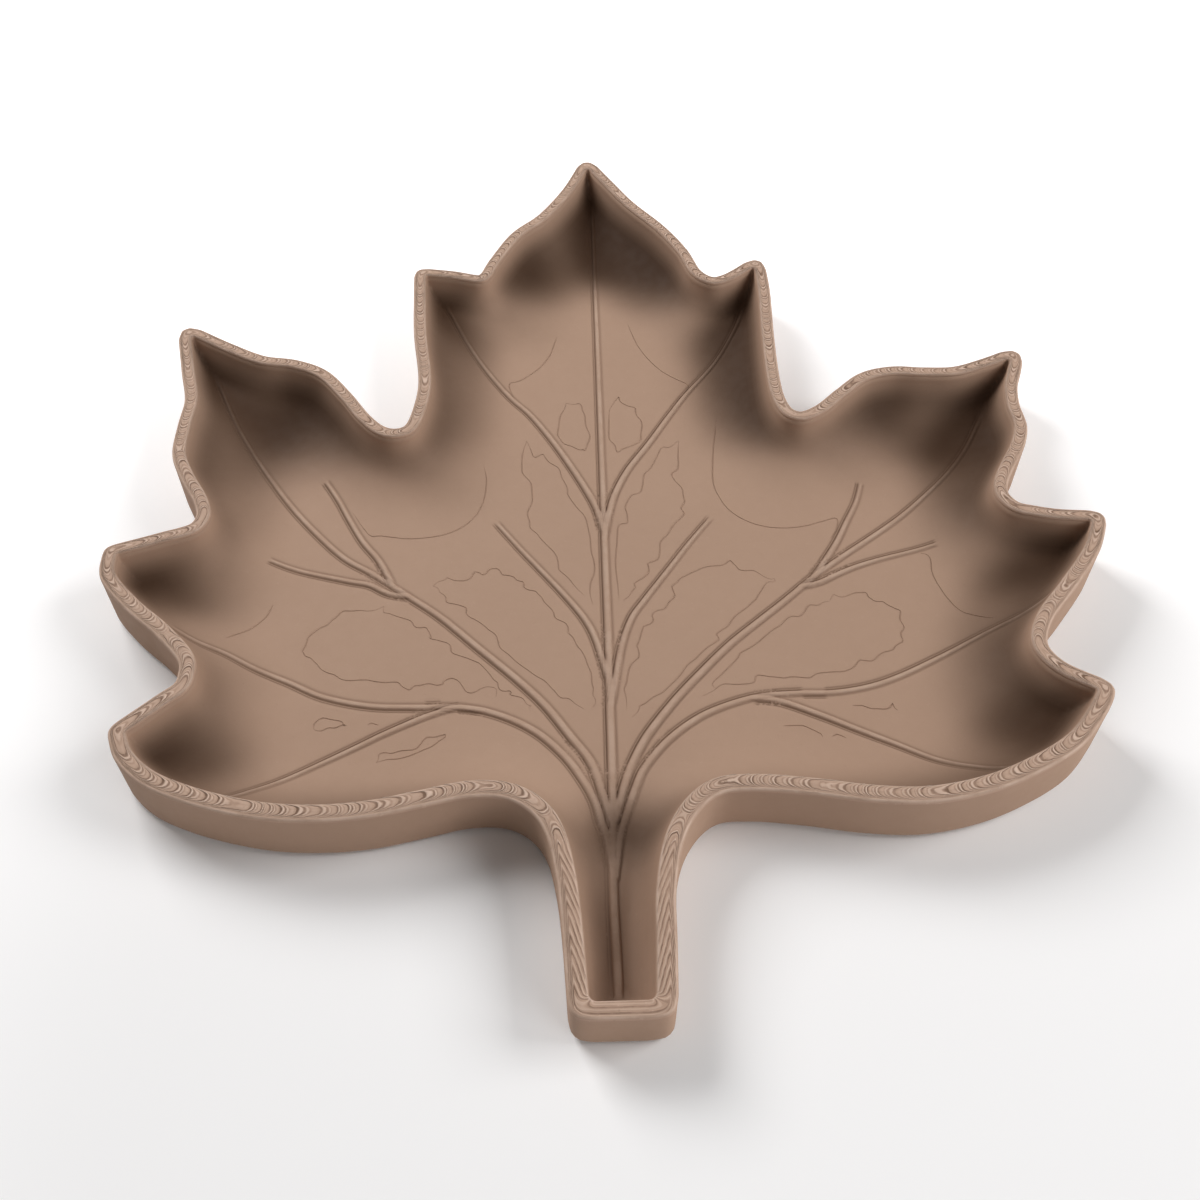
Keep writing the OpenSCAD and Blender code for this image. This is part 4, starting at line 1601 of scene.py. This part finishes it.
@dataclass
class RimBand:
    """The band along the rim: crowned, with a bead on each edge and nested terraces between.

    Sizes are in millimetres; places across the rim go from -1 at its inner edge to 1 at its outer.
    The scallops start at each tip, lie spacing apart, and their arms bend back toward both edges.
    """

    plan: LeafPlan
    columns: int = 22
    spacing: float = 4.1
    tip_spacing: float = 9.5
    tip_calm: float = 26.0
    tip_start: float = 6.0
    arm: float = 4.2
    tip_arm: float = 3.6
    stem_arm: float = 11.5
    field_in: float = -0.93
    field_out: float = 0.68
    field_least: float = 0.05
    side_lip: float = 0.06
    side_steps: tuple[Pair, ...] = ((0.0, 1.0), (0.04, 0.45), (0.16, 0.12))
    crown_from: float = 0.34
    crown_power: float = 2.4
    under_from: float = 0.12
    outer_bead: Bell = Bell(0.45, 0.315, 0.14)
    inner_bead: Bell = Bell(0.35, 0.225, 0.07)
    outer_dip: Bell = Bell(1.0875, 0.18, 0.06)
    terrace_h: float = 0.18
    table: tuple[float, float, float] = (-40.0, 300.0, 0.5)
    slow_waves: range = range(30, 140, 7)
    drift: Pair = (0.4, 34)
    sway: Pair = (0.3, 20)
    sway_show: float = 0.1
    fast_waves: range = range(300, 700, 31)
    ragged_show: float = 0.03
    full_turn: float = 6.28
    stem_blend: Pair = (0.75, 1.0)
    stem_middle: float = 0.42
    stem_wider: float = 0.06
    stem_still: float = 0.6
    bend: Pair = (2, 5)
    bend_start: float = 0.35
    stem_bend: float = 1.15
    edge_most: float = 1.1
    bar_blend: Pair = (2.5, 3.0)
    bars: float = 1.7
    eye: Bell = Bell(0.0, 3.5)
    eye_pull: float = 3.0
    cover_wave: tuple[float, float, float] = (0.82, 0.18, 1.7)
    cover_end: Pair = (0.88, 1.04)
    bare_side: float = 0.15
    nest_end: Pair = (0.45, 0.85)
    nest_loss: float = 0.5
    top_from: float = -0.3
    crest: Bell = Bell(0.84, 0.1)
    count_from: int = 40
    seed: int = 4

    def profile(self) -> list[Pair]:
        """Draws the section of the band.

        Returns:
            Ways out across the rim and heights over the rim's edges, all round the section.
        """
        sizes = self.plan.sizes
        bevel, width, deep = sizes.band_bevel, sizes.rim_w, -sizes.band_t
        side = [(0.0, deep), (0.0, deep + self.side_lip)]
        side += [(out, -bevel * share) for out, share in self.side_steps]
        crown = []
        for out in np.linspace(self.crown_from, width - self.crown_from, self.columns):
            height = sizes.crown_h * (1 - abs(2 * out / width - 1) ** self.crown_power)
            height += self.outer_bead.at(width - out) + self.inner_bead.at(out)
            crown.append((float(out), height - self.outer_dip.at(width - out)))
        far = [(width - out, height) for out, height in reversed(side)]
        return side + crown + far + [
            (out, deep) for out in (width - self.under_from, width / 2, self.under_from)
        ]

    def scallops(self, reach: Array) -> Array:
        """Counts the scallops from a tip outwards, long ones at the tip.

        Args:
            reach: Lengths along the rim from the tip.

        Returns:
            The count at each length.
        """
        table = np.arange(*self.table)
        calm = 1 - ease(0.0, self.tip_calm, table)
        size = self.spacing + (self.tip_spacing - self.spacing) * calm
        return np.interp(reach, table, np.cumsum(self.table[2] / size))

    def off(self, mark: float) -> Array:
        """Signed distance along the rim from a mark at each step, the short way round."""
        loop = self.plan.loop
        return (loop.along - mark + loop.length / 2) % loop.length - loop.length / 2

    def waves(self) -> tuple[Array, Array, Array]:
        """Random waves along the rim.

        Returns:
            How far scallops drift along it and sway across it, and how ragged they are.
        """
        loop = self.plan.loop
        rng = np.random.default_rng(self.seed)
        drift, sway, ragged = np.zeros((3, len(loop.inner)))
        for wave in self.slow_waves:
            turn = TURN * wave * loop.along / loop.length
            for whole, (least, size) in ((drift, self.drift), (sway, self.sway)):
                start = rng.uniform(0, self.full_turn)
                whole += np.sin(turn + start) * rng.uniform(least, 1.0) * size / wave
        for wave in self.fast_waves:
            turn = TURN * wave * loop.along / loop.length
            ragged += np.sin(turn + rng.uniform(0, self.full_turn))
        return drift, sway, ragged

    def phase(self, outs: Array) -> tuple[Array, Array, Array]:
        """Lays the nested scallops over the rim.

        Args:
            outs: Ways out across the rim of the band's columns.

        Returns:
            Phase, cover and nesting, one row for each column and one entry for each step.
        """
        loop, width = self.plan.loop, self.plan.sizes.rim_w
        stem = 1 - ease(*self.stem_blend, 1 - self.plan.stem_share(loop.inner))
        tip, in_bar, bar_count = self.tips_and_bar()
        drift, sway, ragged = self.waves()
        eye = sum(self.eye.at(self.off(mark)) for mark in loop.notches)
        swayed = self.sway_show * sway * (1 - stem)
        middle = 0.5 * (self.field_in + self.field_out) + swayed + self.stem_middle * stem
        near_tip = 1 - ease(self.tip_start, self.tip_calm, tip)
        arm = self.arm * (1 + self.tip_arm * near_tip) * (1 - stem) + self.stem_arm * stem
        reach = tip + drift * (1 - self.stem_still * stem) + self.ragged_show * ragged
        outer = np.maximum(self.field_least, self.field_out + self.stem_wider * stem - middle)
        inner = np.maximum(self.field_least, middle - self.field_in)
        base, swing, speed = self.cover_wave
        low, high = self.bend
        phases, covers, nests = [], [], []
        for out in outs:
            v = out / (width / 2) - 1
            u = np.where(v > middle, (v - middle) / outer, (middle - v) / inner)
            edge = np.minimum(u, self.edge_most)
            bent = (self.bend_start * edge**low + edge**high) * (1 - stem) + edge**self.stem_bend * stem
            count = self.scallops(reach + arm * bent - self.eye_pull * eye * (1 - edge * edge))
            phases.append(count * (1 - in_bar) + (bar_count + v * self.bars) * in_bar)
            shown = (base + swing * np.sin(drift * speed)) * (1 - ease(*self.cover_end, u))
            bare = out < self.bare_side or out > width - self.bare_side
            covers.append(np.zeros_like(shown) if bare else shown)
            nests.append((1 - stem) * (1 - self.nest_loss * ease(*self.nest_end, u)))
        return np.array(phases), np.array(covers), np.array(nests)

    def tips_and_bar(self) -> tuple[Array, Array, Array]:
        """Measures along the rim from the tips, and over the bar at the stem's end.

        Returns:
            Distance to the nearest tip that the grain starts from, share of the bar's own grain, and
            the count of scallops where that grain starts.
        """
        loop = self.plan.loop
        first, last = sorted(loop.stem_corners)
        past_end = self.off((first + loop.length + last) / 2 % loop.length)
        bar = np.abs(past_end)
        bar_half = (first - last) % loop.length / 2
        beyond = np.maximum(bar - bar_half, 0.0)
        tip = np.min([np.abs(self.off(mark)) for mark in loop.tips], axis=0)
        leads = []
        for side in (-1, 1):
            ours = side * past_end > 0
            rows = np.flatnonzero((self.plan.stem_share(loop.inner) == 0) & ours)
            root = rows[bar[rows].argmin()]
            leads.append(tip[root] - beyond[root])
            tip = np.where(ours, np.minimum(tip, beyond + leads[-1]), tip)
        before, after = self.bar_blend
        in_bar = 1 - ease(bar_half - before, bar_half + after, bar)
        return tip, in_bar, self.scallops(np.full_like(tip, sum(leads) / 2))

    def build(self) -> Piece:
        """Builds the band.

        Returns:
            The band as one closed mesh object with its masks and its own UV map.
        """
        loop, sizes = self.plan.loop, self.plan.sizes
        count = len(loop.inner)
        profile = self.profile()
        outs, heights = np.array(profile).T
        rim = self.plan.rim_z(loop.inner)
        rings = [
            np.column_stack([
                loop.inner + loop.way * out, rim + height - sizes.rim_fall * out / sizes.rim_w,
            ])
            for out, height in profile
        ]
        faces = []
        for k in range(len(rings)):
            faces += ring_strip(k * count, (k + 1) % len(rings) * count, count)
        piece = new_piece("rim_grain_band", np.vstack(rings), faces)
        phases, covers, nests = self.phase(outs)
        on_top = (heights > self.top_from).astype(float)
        edge = self.crest.at(np.abs(outs / sizes.rim_w * 2 - 1))
        set_masks(
            piece, phase=phases.ravel() + self.count_from, cover=(covers * on_top[:, None]).ravel(),
            nest=nests.ravel(), crest=np.repeat(edge * on_top, count),
        )
        spread = running([math.dist(a, b) for a, b in zip(profile, profile[1:] + profile[:1])])
        j = np.tile(np.arange(count), len(rings))
        k = np.repeat(np.arange(len(rings)), count)
        u = np.stack([j, j, j + 1, j + 1], axis=1) * loop.step * MM
        v = np.stack([spread[k], spread[k + 1], spread[k + 1], spread[k]], axis=1) * MM
        layer = piece.data.uv_layers.new(name="along_rim")
        layer.data.foreach_set("uv", np.stack([u, v], axis=2).ravel().astype(np.float32))
        return piece


class NodeTool:
    """A geometry node tree that is run once on a piece and then taken off."""

    def __init__(self, name: str, sizes: dict[str, float]) -> None:
        """Starts the tree.

        Args:
            name: Name of the tree.
            sizes: Its named inputs with their values.
        """
        self.tree = bpy.data.node_groups.new(name, "GeometryNodeTree")
        self.socket("Geometry", "Geometry")
        self.values: dict[str, object] = {
            self.socket(key, "Int" if isinstance(value, int) else "Float"): value
            for key, value in sizes.items()
        }
        self.material_key = self.socket("Material", "Material")
        self.socket("Geometry", "Geometry", "OUTPUT")
        self.sheet = NodeSheet(self.tree)
        self.given = self.sheet.add("NodeGroupInput").outputs

    def socket(self, name: str, kind: str, side: str = "INPUT") -> str:
        """Adds a socket to the tree and hands out its identifier."""
        made = self.tree.interface.new_socket(name, in_out=side, socket_type=f"NodeSocket{kind}")
        return made.identifier

    def close(self, result: Socket) -> None:
        """Ends the tree in plain geometry, smooth shaded and with its material.

        Args:
            result: Geometry to hand out.
        """
        plain = self.sheet.out("GeometryNodeRealizeInstances", {"Geometry": result})
        smooth = self.sheet.out("GeometryNodeSetShadeSmooth", {"Geometry": plain})
        dressed = {"Geometry": smooth, "Material": self.given["Material"]}
        self.sheet.add(
            "NodeGroupOutput", {"Geometry": self.sheet.out("GeometryNodeSetMaterial", dressed)}
        )

    def run(self, piece: Piece, material: bpy.types.Material) -> None:
        """Replaces the piece's mesh with the tree's result.

        Args:
            piece: Mesh object that the tree starts from.
            material: Finish set on the result.
        """
        modifier = piece.modifiers.new("tool", "NODES")
        modifier.node_group = self.tree
        for key, value in self.values.items():
            modifier[key] = value
        modifier[self.material_key] = material
        shown = piece.evaluated_get(bpy.context.evaluated_depsgraph_get())
        mesh = bpy.data.meshes.new_from_object(shown)
        piece.modifiers.remove(modifier)
        piece.data = mesh


class TerraceTool(NodeTool):
    """Raises the nested terraces of the rim along the surface's own normals."""

    RIDGE = 0.3

    def __init__(self, height: float) -> None:
        """Builds the tree.

        Args:
            height: Height of a ridge in metres.
        """
        super().__init__("raise_terraces", {"Height": height, "Ridge Half Width": self.RIDGE})
        sheet = self.sheet
        phase, cover = (
            sheet.out("GeometryNodeInputNamedAttribute", {"Name": name}) for name in ("phase", "cover")
        )
        off = sheet.math("ABSOLUTE", sheet.math("SUBTRACT", sheet.math("FRACT", phase), self.RIDGE))
        share = sheet.math("DIVIDE", off, self.given["Ridge Half Width"])
        rise = sheet.times(sheet.span(share, 0.0, 1.0, 1.0, 0.0), cover, self.given["Height"])
        lift = sheet.vector("SCALE", sheet.out("GeometryNodeInputNormal"), rise)
        moved = {"Geometry": self.given["Geometry"], "Offset": lift}
        self.close(sheet.out("GeometryNodeSetPosition", moved))


class LineTool(NodeTool):
    """Sweeps a low bead along each drawn line, thinning out at its ends."""

    WOBBLE = 0.00025
    WOBBLE_SCALE = 260.0
    STEP = 0.0009
    SIDES = 12
    THIN = 0.45
    ENDS = 0.12
    LEE_WAY = (-0.7, 0.7, 0.0)

    def __init__(self, width: float, height: float, seed: int) -> None:
        """Builds the tree.

        Args:
            width: Width of the bead in metres.
            height: Height of the bead in metres.
            seed: Seed of the small wobble of the line.
        """
        sizes = {"Width": width, "Height": height, "Wobble": self.WOBBLE, "Seed": seed}
        super().__init__("raise_lines", sizes)
        sheet, given = self.sheet, self.given
        lines = sheet.out("GeometryNodeMeshToCurve", {"Mesh": given["Geometry"]})
        even = sheet.out(
            "GeometryNodeResampleCurve", {"Curve": lines, "Length": self.STEP}, mode="LENGTH"
        )
        noise = sheet.add("ShaderNodeTexNoise", {"W": given["Seed"], "Scale": self.WOBBLE_SCALE},
                          noise_dimensions="4D").outputs["Color"]
        centred = sheet.vector("SUBTRACT", noise, (0.5, 0.5, 0.5))
        level = sheet.vector("MULTIPLY", centred, (1.0, 1.0, 0.0))
        push = sheet.vector("SCALE", level, given["Wobble"])
        drawn = sheet.out("GeometryNodeSetPosition", {"Geometry": even, "Offset": push})
        upright = sheet.out("GeometryNodeSetCurveNormal", {"Curve": drawn}, mode="Z_UP")
        ring = sheet.out("GeometryNodeCurvePrimitiveCircle", {"Resolution": self.SIDES, "Radius": 0.5})
        size = sheet.out("ShaderNodeCombineXYZ", {"X": given["Height"], "Y": given["Width"], "Z": 1.0})
        section = sheet.out("GeometryNodeTransform", {"Geometry": ring, "Scale": size})
        run = sheet.add("GeometryNodeSplineParameter").outputs["Factor"]
        ends = sheet.times(sheet.span(run, 0.0, self.ENDS, self.THIN, 1.0),
                           sheet.span(run, 1.0 - self.ENDS, 1.0, 1.0, self.THIN))
        bead = sheet.out(
            "GeometryNodeCurveToMesh",
            {"Curve": upright, "Profile Curve": section, "Scale": ends, "Fill Caps": True},
        )
        # Which way each point of the bead faces, stored for painted shade on one side of the line and
        # painted highlight on the other.
        painted_light_side = sheet.vector("DOT_PRODUCT", sheet.out("GeometryNodeInputNormal"), self.LEE_WAY)
        self.close(sheet.out(
            "GeometryNodeStoreNamedAttribute",
            {"Geometry": bead, "Name": "painted_light_side", "Value": painted_light_side},
            data_type="FLOAT", domain="POINT",
        ))


@dataclass
class FloorDrawing:
    """Fine raised lines on the floor between the veins."""

    plan: LeafPlan
    veins: VeinTree
    width: float = 0.46
    height: float = 0.1
    sunk: float = 0.015
    jag: float = 0.36
    step: float = 1.0
    seed: int = 11

    def build(self, material: bpy.types.Material) -> Piece:
        """Builds all lines as one piece.

        Args:
            material: Finish of the lines.

        Returns:
            The piece, its beads lying on the floor.
        """
        points, edges = [], []
        rng = np.random.default_rng(self.seed)
        for kind, line in FLOOR_LINES.values():
            places = np.array(line, dtype=float)
            if kind is Line.CLOSED:
                places = np.vstack([places, places[:1]])
            if kind is not Line.SWEEP:
                middle = (places[1:] + places[:-1]) / 2 + rng.normal(0.0, self.jag, (len(places) - 1, 2))
                places = np.vstack([np.stack([places[:-1], middle], axis=1).reshape(-1, 2), places[-1:]])
            first = len(points)
            points += smooth_curve(places, self.step, whole=True).tolist()
            edges += [(k, k + 1) for k in range(first, len(points) - 1)]
        flat = np.array(points)
        height = self.plan.dish_z(flat, self.plan.track.measure(flat).gap)
        height = height + self.veins.relief(flat)[0] - self.sunk
        piece = new_piece("floor_lines", np.column_stack([flat, height]), [], edges)
        LineTool(self.width * MM, self.height * MM, self.seed).run(piece, material)
        return piece


@dataclass
class Studio:
    """Pale floor, soft light and the camera at the picture's angle; sizes in metres and watts."""

    camera_at: Place = (-0.01041, -0.2838, 0.2927)
    look: Place = (0.01887, 0.64251, -0.76604)
    right: Place = (0.99957, -0.02936, 0.0)
    lens: float = 37.5
    sensor: float = 36.0
    clip: Pair = (0.01, 20.0)
    floor_half: float = 4.0
    floor_drop_mm: float = 0.05
    floor_colour: Colour = (0.93, 0.92, 0.92, 1.0)
    floor_rough: float = 0.9
    floor_shine: float = 0.1
    floor_lift: Pair = (0.0, 0.62)
    floor_fade: Pair = (0.13, 0.42)
    fade_from: Place = (0.02, -0.185, 0.0)
    far_fade: Pair = (0.24, 0.7)
    lamp_side: float = 0.8
    lamps: tuple[tuple[str, Place, float], ...] = (
        ("key_softbox", (-0.891, 0.891, 0.985), 21.0),
        ("side_softbox", (1.26, 0.0, 0.985), 13.5),
        ("front_softbox", (1.063, -1.063, 0.547), 7.4),
    )
    room_colour: Colour = (1.0, 0.99, 0.98, 1.0)
    room_light: float = 0.14

    def camera(self) -> None:
        """Places the camera and makes it the scene's."""
        data = bpy.data.cameras.new("camera")
        data.lens = self.lens
        data.sensor_width = self.sensor
        data.clip_start, data.clip_end = self.clip
        eye = linked("camera", data)
        right, back = Vector(self.right).normalized(), -Vector(self.look).normalized()
        turn = Matrix((right, back.cross(right), back)).transposed()
        eye.matrix_world = Matrix.Translation(self.camera_at) @ turn.to_4x4()
        bpy.context.scene.camera = eye

    def floor(self) -> None:
        """Lays the plain pale floor; for the camera only it glows, more the farther from a point in
        front of the tray, which paints light over the tray's shadow behind and beside it.
        """
        far = self.floor_half / MM
        corners = [(-far, -far), (far, -far), (far, far), (-far, far)]
        points = np.array([(x, y, -self.floor_drop_mm) for x, y in corners])
        floor = new_piece("studio_floor", points, [(0, 1, 2, 3)])
        material = bpy.data.materials.new("studio_floor")
        material.use_nodes = True
        sheet = NodeSheet(material.node_tree)
        seen = sheet.add("ShaderNodeLightPath").outputs["Is Camera Ray"]
        where = sheet.where()
        # Painted light: the glow grows away from a point in front of the tray, so the shadow fades
        # behind the tray.
        front = sheet.vector("DISTANCE", where, self.fade_from)
        middle = sheet.vector("LENGTH", where)
        lift = sheet.math("MAXIMUM", sheet.span(front, *self.floor_fade, *self.floor_lift),
                          sheet.span(middle, *self.far_fade))
        shader = sheet.out("ShaderNodeBsdfPrincipled", {
            "Base Color": self.floor_colour, "Roughness": self.floor_rough,
            "Specular IOR Level": self.floor_shine, "Emission Color": self.floor_colour,
            "Emission Strength": sheet.times(seen, lift),
        })
        sheet.add("ShaderNodeOutputMaterial", {"Surface": shader})
        floor.data.materials.append(material)

    def lamp(self, name: str, at: Place, power: float) -> None:
        """Hangs one soft square lamp that points at the tray.

        Args:
            name: Name of the lamp.
            at: Place in metres.
            power: Power in watts.
        """
        data = bpy.data.lights.new(name, "AREA")
        data.shape = "SQUARE"
        data.size = self.lamp_side
        data.energy = power
        lamp = linked(name, data)
        lamp.location = at
        lamp.rotation_mode = "QUATERNION"
        lamp.rotation_quaternion = (Vector() - Vector(at)).to_track_quat("-Z", "Y")

    def build(self) -> None:
        """Sets up floor, light, background and camera."""
        self.floor()
        for lamp in self.lamps:
            self.lamp(*lamp)
        world = bpy.data.worlds.new("studio")
        world.use_nodes = True
        sheet = NodeSheet(world.node_tree)
        ray = sheet.add("ShaderNodeLightPath").outputs
        seen = sheet.math("MAXIMUM", ray["Is Camera Ray"], ray["Is Glossy Ray"])
        strength = sheet.span(seen, 0.0, 1.0, self.room_light, 1.0)
        room = sheet.out("ShaderNodeBackground", {"Color": self.room_colour, "Strength": strength})
        sheet.add("ShaderNodeOutputWorld", {"Surface": room})
        bpy.context.scene.world = world
        bpy.context.scene.view_settings.view_transform = "Standard"
        self.camera()


# In each finish the third colour is pale: pale specks, the rim's ridges and lighter edges, and painted
# highlight on the vein crests and on one side of the floor lines. The fourth is dark: dark specks, the
# rim's streaks and gaps, and painted shade in the dish's grooves and on the other side of the floor
# lines.
DISH_FINISH = DishFinish(
    "taupe_matte_dish", (0.395, 0.262, 0.188, 1.0), (0.35, 0.227, 0.161, 1.0),
    (0.54, 0.40, 0.315, 1.0), (0.16, 0.095, 0.062, 1.0),
)
RIM_FINISH = RimFinish(
    "taupe_matte_rim", (0.465, 0.316, 0.235, 1.0), (0.405, 0.268, 0.195, 1.0),
    (0.68, 0.51, 0.41, 1.0), (0.16, 0.095, 0.063, 1.0), specks=0.2, wear_and_painted_highlight=0.75,
)
LINE_FINISH = LineFinish(
    "taupe_matte_lines", (0.4, 0.265, 0.188, 1.0), (0.355, 0.23, 0.161, 1.0),
    (0.54, 0.40, 0.315, 1.0), (0.16, 0.095, 0.062, 1.0),
)


def hand_over(piece: Piece, nodes: list[str]) -> None:
    """Gives a finished piece to the frame.

    Args:
        piece: The piece.
        nodes: Solids that it stands for.
    """
    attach(piece, "root")
    if nodes:
        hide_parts(*nodes)
    LOG.info("%s: %d points, %d faces", piece.name, len(piece.data.vertices), len(piece.data.polygons))


def main() -> None:
    """Builds the tray and the studio in order."""
    logging.basicConfig(level=logging.INFO, format="%(name)s %(message)s")
    effects = Effects()
    plan = LeafPlan(TraySizes())
    veins = VeinTree(plan)
    solids = [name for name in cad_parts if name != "rim_band"]

    dish = DishShell(plan, veins).build()
    dish.data.materials.append(DISH_FINISH.build(effects))
    hand_over(dish, solids)

    rim = RimBand(plan)
    band = rim.build()
    TerraceTool(rim.terrace_h * MM).run(band, RIM_FINISH.build(effects))
    hand_over(band, ["rim_band"])

    lines = FloorDrawing(plan, veins).build(LINE_FINISH.build(effects))
    hand_over(lines, [])

    Studio().build()


if __name__ == "__main__":
    main()
